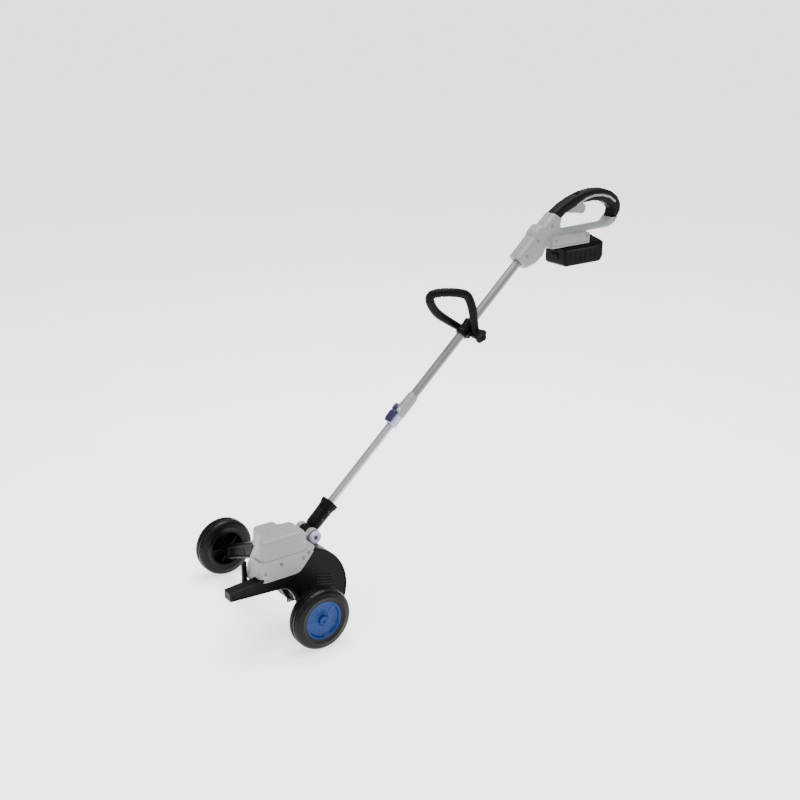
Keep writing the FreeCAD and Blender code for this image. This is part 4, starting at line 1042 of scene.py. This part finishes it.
def handle():
    """Two hollow shells with a finger gap, a battery foot, and a rubber sleeve round the arched grip."""
    g = grip_space((-336, 20), 34, (-22, 166), COARSE)
    front = shaft_points((SLEEVE_START, -19), (SLEEVE_START, 19), (SLEEVE_S + 84, 20), (SLEEVE_S + 91, 23.5),
            (SLEEVE_S + 97, 25), (SLEEVE_S + 112, 25), (SLEEVE_S + 119, 22), (SLEEVE_S + 124, 15))
    body = outline(g.x, g.z, front + grip_points(*GRIP_OUTER, *LOWER_OUTER))
    gap = outline(g.x, g.z, grip_points(*OPEN_LOWER, *GRIP_INNER))
    d = slab(cut(body, gap, 6.0), g.y, *span(19.5), 9.0)
    sleeve = np.hypot(np.maximum(np.abs(g.n) - 11.0, 0), np.maximum(g.aside - 11.5, 0)) - 8.0
    sleeve = meet(meet(sleeve, SLEEVE_START - g.s), g.s - SLEEVE_S - 100)
    d = join(d, sleeve, 1.5)
    foot = grip_points((-214, 40), (-96, 40), (-96, 55), (-103, 64), (-112, 66), (-214, 66))
    d = join(d, plate(g, foot, *span(33), 4.0), 6.0)
    d = cut(d, grip_brick(g, (-262, -92), 45, (10, 40)))  # the battery's place below the foot
    zone = outline(g.x, g.z, grip_points(*GRIP_OUTER, *GRIP_INNER))
    core = slab(zone + 3.2, g.y, *span(12.6), 4.0)
    line = grip_points(*STRIP)
    inlay = np.minimum.reduce([side_line(g, p, q) for p, q in zip(line, line[1:])]) - 3.1
    strip = slab(inlay, g.y, *span(15.2), 1.2)
    d = join(cut(d, zone, 0.6), core, 0.5)
    d = join(d, strip, 0.6)
    d = cut(d, meet(g.reach - 10.0, g.s - 830))
    d = cut(d, grip_brick(g, (-200, -146), 9.5, (36, 56), 1.0))
    trigger_room = grip_points((-152, 105), (-152, 138), (-232, 150), (-232, 105))
    trigger_room = plate(g, trigger_room, *span(7.0))
    d = cut(d, trigger_room)
    well = np.hypot(g.gx + 196, g.aside)
    d = cut(d, meet(well - 6.4, 130 - g.gz))
    hollow = cut(slab(body + 3.2, g.y, *span(16.3), 6.0), gap - 3.2)
    hollow = meet(meet(hollow, 836 - g.s), g.gx + 60)
    hollow = meet(hollow, meet(58 - g.gz, g.gz - 104))
    d = cut(d, hollow)
    # panel line on the foot, slanted marks above it, and screw recesses
    d = cut(d, meet(np.abs(g.gz - 46.5) - 0.7, 31.6 - g.aside), 0.7)
    for x in (-166, -176, -186, -196):
        mark = outline(g.gx, g.gz, [(x, 62), (x + 3, 62), (x - 1, 71), (x - 4, 71)])
        d = cut(d, slab(mark, g.aside, 18.9, 24.0, 0.6), 0.8)
    for places, y0, y1 in ((HANDLE_SCREWS, 98.2, 112), (FOOT_SCREWS, 111.8, 120)):
        for x, z in places:
            d = cut(d, post(g, flat_grip(x, z), 4.4, y0, y1), 0.8)
    two_shells("handle", g, d, SHAFT_Y, 0.3, 0.8, "upper_shaft", "grey_rear")
    # overmould
    rubber = cut(slab(zone, g.y, *span(16.0), 8.5), core)
    rubber = cut(rubber, slab(inlay - 0.3, g.y, *span(40)), 0.8)
    rubber = cut(rubber, trigger_room)
    rubber = cut(rubber, meet(well - 6.6, 130 - g.gz), 0.8)
    for i in range(9):
        x = -236 - 8.0 * i
        rib = meet(np.abs(g.gx - x) - 1.0, -(zone + 1.3))
        rubber = cut(rubber, meet(rib, 143 - g.gz), 1.0)
    piece(skin("grip_overmould", g, rubber), "upper_shaft", "grip_rubber", ["grip_sleeve"])


def trigger():
    """Finger trigger, grooved below; points are from its pin."""
    pin = (-160.0, 121.0)
    side = [(5, 4), (5, -2), (1, -6), (-12, -9), (-30, -10.5), (-48, -14), (-54, -14), (-60, -9), (-62, 4),
            (-50, 11), (-20, 9)]
    g = grip_space((pin[0] - 64, pin[0] + 8), 8, (pin[1] - 16, pin[1] + 14), SMALL)
    d = plate(g, [flat_grip(pin[0] + x, pin[1] + z) for x, z in side], *span(6.5), 2.4)
    for i in range(4):
        groove = around(g, flat_grip(pin[0] - 22 - 7 * i, pin[1] - 10.4 - 0.7 * i)) - 1.3
        d = cut(d, meet(groove, g.aside - 4.6), 0.8)
    d = cut(d, post(g, flat_grip(*pin), 2.04, 60, 100))
    piece(skin("trigger_paddle", g, d), "trigger", "grey_rear", ["trigger"])


def lock_off():
    """Dished button on top of the grip."""
    origin = (GRIP_O[0] - 196, SHAFT_Y, GRIP_O[1])
    cap = [(0.0, 147.0), (5.6, 147.0), (6.0, 147.5), (6.0, 156.9), (5.5, 158.0), (4.2, 158.5), (3.2, 158.2),
            (1.6, 157.9), (0.0, 157.8)]
    made = turned("lock_off_button_cap", cap, origin, (0, 0, 1), (1, 0, 0), 48, None, 35.0)
    piece(made, "lock_off_button", "black_plastic", ["lock_off_button"])


handle()
trigger()
lock_off()


# ---- battery
def battery():
    """Slide-on pack: a hollow block with side rails, a crest behind the foot, terminal slots and grooves."""
    g = grip_space((-262, -128), 37, (-10, 61), COARSE)
    side = grip_points((-258, 4), (-251, -6), (-246, -8), (-140, -8), (-134, -3), (-133, 6), (-133, 34),
            (-137, 38.6), (-258, 38.6))
    crest = grip_points((-257, 36), (-257, 40.6), (-250, 44.6), (-230, 54.6), (-220, 60.4), (-216.2, 60.4),
            (-216.2, 36))
    d = join(plate(g, side, *span(35), 4.5), plate(g, crest, *span(30), 2.4), 4.0)
    d = join(d, slab(rect(g.gx, g.gz, (-232, -136), (30, 34)), g.aside, 33.0, 36.2, 0.8), 0.8)
    d = cut(d, grip_brick(g, (-250, -139), 32.0, (-5, 26.6), 2.0))
    slots = meet(np.abs(g.aside - 5.5) - 1.5, np.abs(g.gx + 152) - 24)
    d = cut(d, meet(slots, 28 - g.gz))
    for x in range(-150, -231, -16):
        d = cut(d, slab(rect(g.gx, g.gz, (x, x + 2.4), (2, 24)), g.aside, 34.0, 40.0, 0.5), 0.9)
    for z in (6, 14, 22):
        d = cut(d, meet(around(g, flat_grip(-258.4, z)) - 1.4, g.aside - 24), 0.8)
    d = cut(d, grip_brick(g, (-141, -128), 12.5, (8.5, 21.5), 0.5))
    piece(skin("battery_casing", g, d), "battery", "battery_plastic", ["battery_case"])


def latch():
    """Ribbed latch at the battery's front."""
    g = grip_space((-142, -129), 14, (7, 23), grid_step(0.5))
    d = grip_brick(g, (-140, -131), 12.0, (9, 21), 1.2)
    for rise in (12, 15, 18):
        x, z = flat_grip(-131.2, rise)
        d = join(d, bead(g, (x, 71, z), (x, 89, z), 0.8), 0.5)
    piece(skin("battery_latch_pad", g, d), "battery_latch", "battery_plastic", ["battery_latch"])


battery()
latch()


# ---- screws, blade, and the CAD pieces kept
def screws(name, heads, body, nodes, mat):
    """Domed heads with a hexagon socket, as one piece; each head is its centre, radius and height."""
    verts = []
    faces = []
    steps = 24
    flat = math.pi / 6
    for centre, radius, height in heads:
        rings = [(1.0, 0.0), (1.0, 0.55), (0.86, 0.92), (0.72, 1.0), (0.48, 1.0), (0.48, 0.25)]
        faces += closed_rings(len(rings), steps, len(verts))
        for k, (r, h) in enumerate(rings):
            for i in range(steps):
                a = 2 * math.pi * i / steps
                hexagon = math.cos(flat) / math.cos(a % (2 * flat) - flat) if k > 3 else 1.0
                out = radius * r * hexagon
                corner_at = Vector((out * math.cos(a), height * h, out * math.sin(a)))
                verts.append((Vector(centre) + corner_at) * MM)
    made = built(name, verts, faces)
    tidy_normals(made, 35.0)
    piece(made, body, mat, nodes)


house_heads = [((AXLE_X + x, 159.9, z), 3.2, 2.0) for x, z in HOUSE_SCREWS]
house_heads += [((AXLE_X + x, 103.5, z), 4.6, 3.5) for x, z in ((-30, 112), (16, 116), (9, 66))]
screws("housing_screw_heads", house_heads, "head", ["housing_screws"], "grey_screw")
rear_heads = []
for places, y in ((HANDLE_SCREWS, 98.3), (FOOT_SCREWS, 111.9)):
    rear_heads += [((x, y, z), 3.0, 1.6) for x, z in grip_points(*places)]
screws("handle_screw_heads", rear_heads, "upper_shaft", ["handle_screws"], "grey_screw")
socket_heads = [((x, 97.0, z), 3.4, 2.4) for x, z in shaft_points((40.0, 0), (62.0, 0))]
screws("socket_screw_heads", socket_heads, "lower_shaft", ["socket_screws"], "dark_screw")


def blade():
    """Bar blade with ground edges, in the same place as the CAD bar; layers are a height and an edge's ease."""
    tilt = math.radians(54.0)
    half = 13.0
    side = [(-88.3, -half), (-62, -half), (0, -half), (62, -half), (88.3, -half), (89.4, -8), (90, 0),
            (89.4, 8)]
    rim = side + [(-u, -v) for u, v in side]
    layers = [(127.0, 2.6), (127.5, 0.6), (128.3, 0.0), (129.1, 0.6), (129.6, 2.6)]
    verts = []
    for y, ease in layers:
        for u, v in rim:
            u *= 1.0 - ease * 0.25 / 90.0
            v *= 1.0 - (1.0 if abs(u) > 20 else 0.3) * ease / half
            x = ARBOR[0] + u * math.cos(tilt) - v * math.sin(tilt)
            z = ARBOR[1] + u * math.sin(tilt) + v * math.cos(tilt)
            verts.append(Vector((AXLE_X + x, y, z)) * MM)
    made = built("edger_blade_bar", verts, closed_rings(len(layers), len(rim)))
    tidy_normals(made, 20.0)
    piece(made, "blade", "blade_steel", ["edger_blade"])


blade()

SLOT_OF = {row["node"]: row["material_slot"] for row in frame["record"]["subparts"]}
for name, made in frame["nodes"].items():
    if made.hide_render:
        continue
    made.data.materials.clear()
    made.data.materials.append(MATS[SLOT_OF[name]])
    made.data.shade_smooth()
    made.data.set_sharp_from_angle(angle=math.radians(35.0))


# ---- floor, light and camera
def floor_finish():
    """Near-white ground with faint clouding, lit a little from within."""
    mat = bpy.data.materials.new("studio_floor")
    mat.use_nodes = True
    tree = mat.node_tree
    bsdf = tree.nodes["Principled BSDF"]
    place = tree.nodes.new("ShaderNodeTexCoord").outputs["Object"]
    shade = ramp(tree, noise(tree, place, 3.0, 4.0), 0.3, 0.7, (0.93, 0.93, 0.93), (0.96, 0.96, 0.96))
    tree.links.new(shade, bsdf.inputs["Base Color"])
    tree.links.new(shade, bsdf.inputs["Emission Color"])
    bsdf.inputs["Emission Strength"].default_value = 1.5
    bsdf.inputs["Roughness"].default_value = 0.6
    return mat


# name, place, the point it faces, watts, and width in metres
LAMPS = [("key", (0.6, 2.2, 3.0), (0.0, 0.1, 0.3), 27.0, 1.8),
         ("fill", (2.8, 0.6, 1.6), (0.1, 0.1, 0.3), 22.0, 2.2),
         ("top", (-0.3, -0.2, 3.4), (0.0, 0.1, 0.4), 190.0, 2.4)]


def studio():
    """A wide floor just under the part, a white sky and three lamps, in metres."""
    low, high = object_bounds()
    size = 300.0
    ground = low[2] - 0.0004
    square = [(-size, -size, ground), (size, -size, ground), (size, size, ground), (-size, size, ground)]
    floor = built("floor", square, [(0, 1, 2, 3)])
    floor.data.materials.append(floor_finish())
    floor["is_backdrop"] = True
    world = bpy.data.worlds.new("studio")
    bpy.context.scene.world = world
    world.use_nodes = True
    sky = world.node_tree.nodes["Background"]
    sky.inputs["Color"].default_value = (1.0, 1.0, 1.0, 1.0)
    sky.inputs["Strength"].default_value = 0.85
    for name, place, aim, power, width in LAMPS:
        data = bpy.data.lights.new(name, "AREA")
        data.energy = power
        data.size = width
        lamp = put(name, data)
        lamp.location = place
        lamp.rotation_euler = (Vector(aim) - Vector(place)).to_track_quat("-Z", "Y").to_euler()
        lamp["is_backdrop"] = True


def camera():
    """The view of the photograph: from the front left, above."""
    right = Vector((-0.809, 0.588, 0.0)).normalized()
    back = Vector((0.552, 0.760, 0.342))
    back = (back - right * back.dot(right)).normalized()
    up = back.cross(right)
    data = bpy.data.cameras.new("view")
    data.lens = 56.25
    data.sensor_width = 36.0
    data.shift_y = 0.0125
    data.clip_end = 1000.0
    cam = put("view", data)
    turn = Matrix((right, up, back)).transposed().to_4x4()
    cam.matrix_world = Matrix.Translation((1.6334, 2.215, 1.395)) @ turn
    bpy.context.scene.camera = cam


studio()
camera()
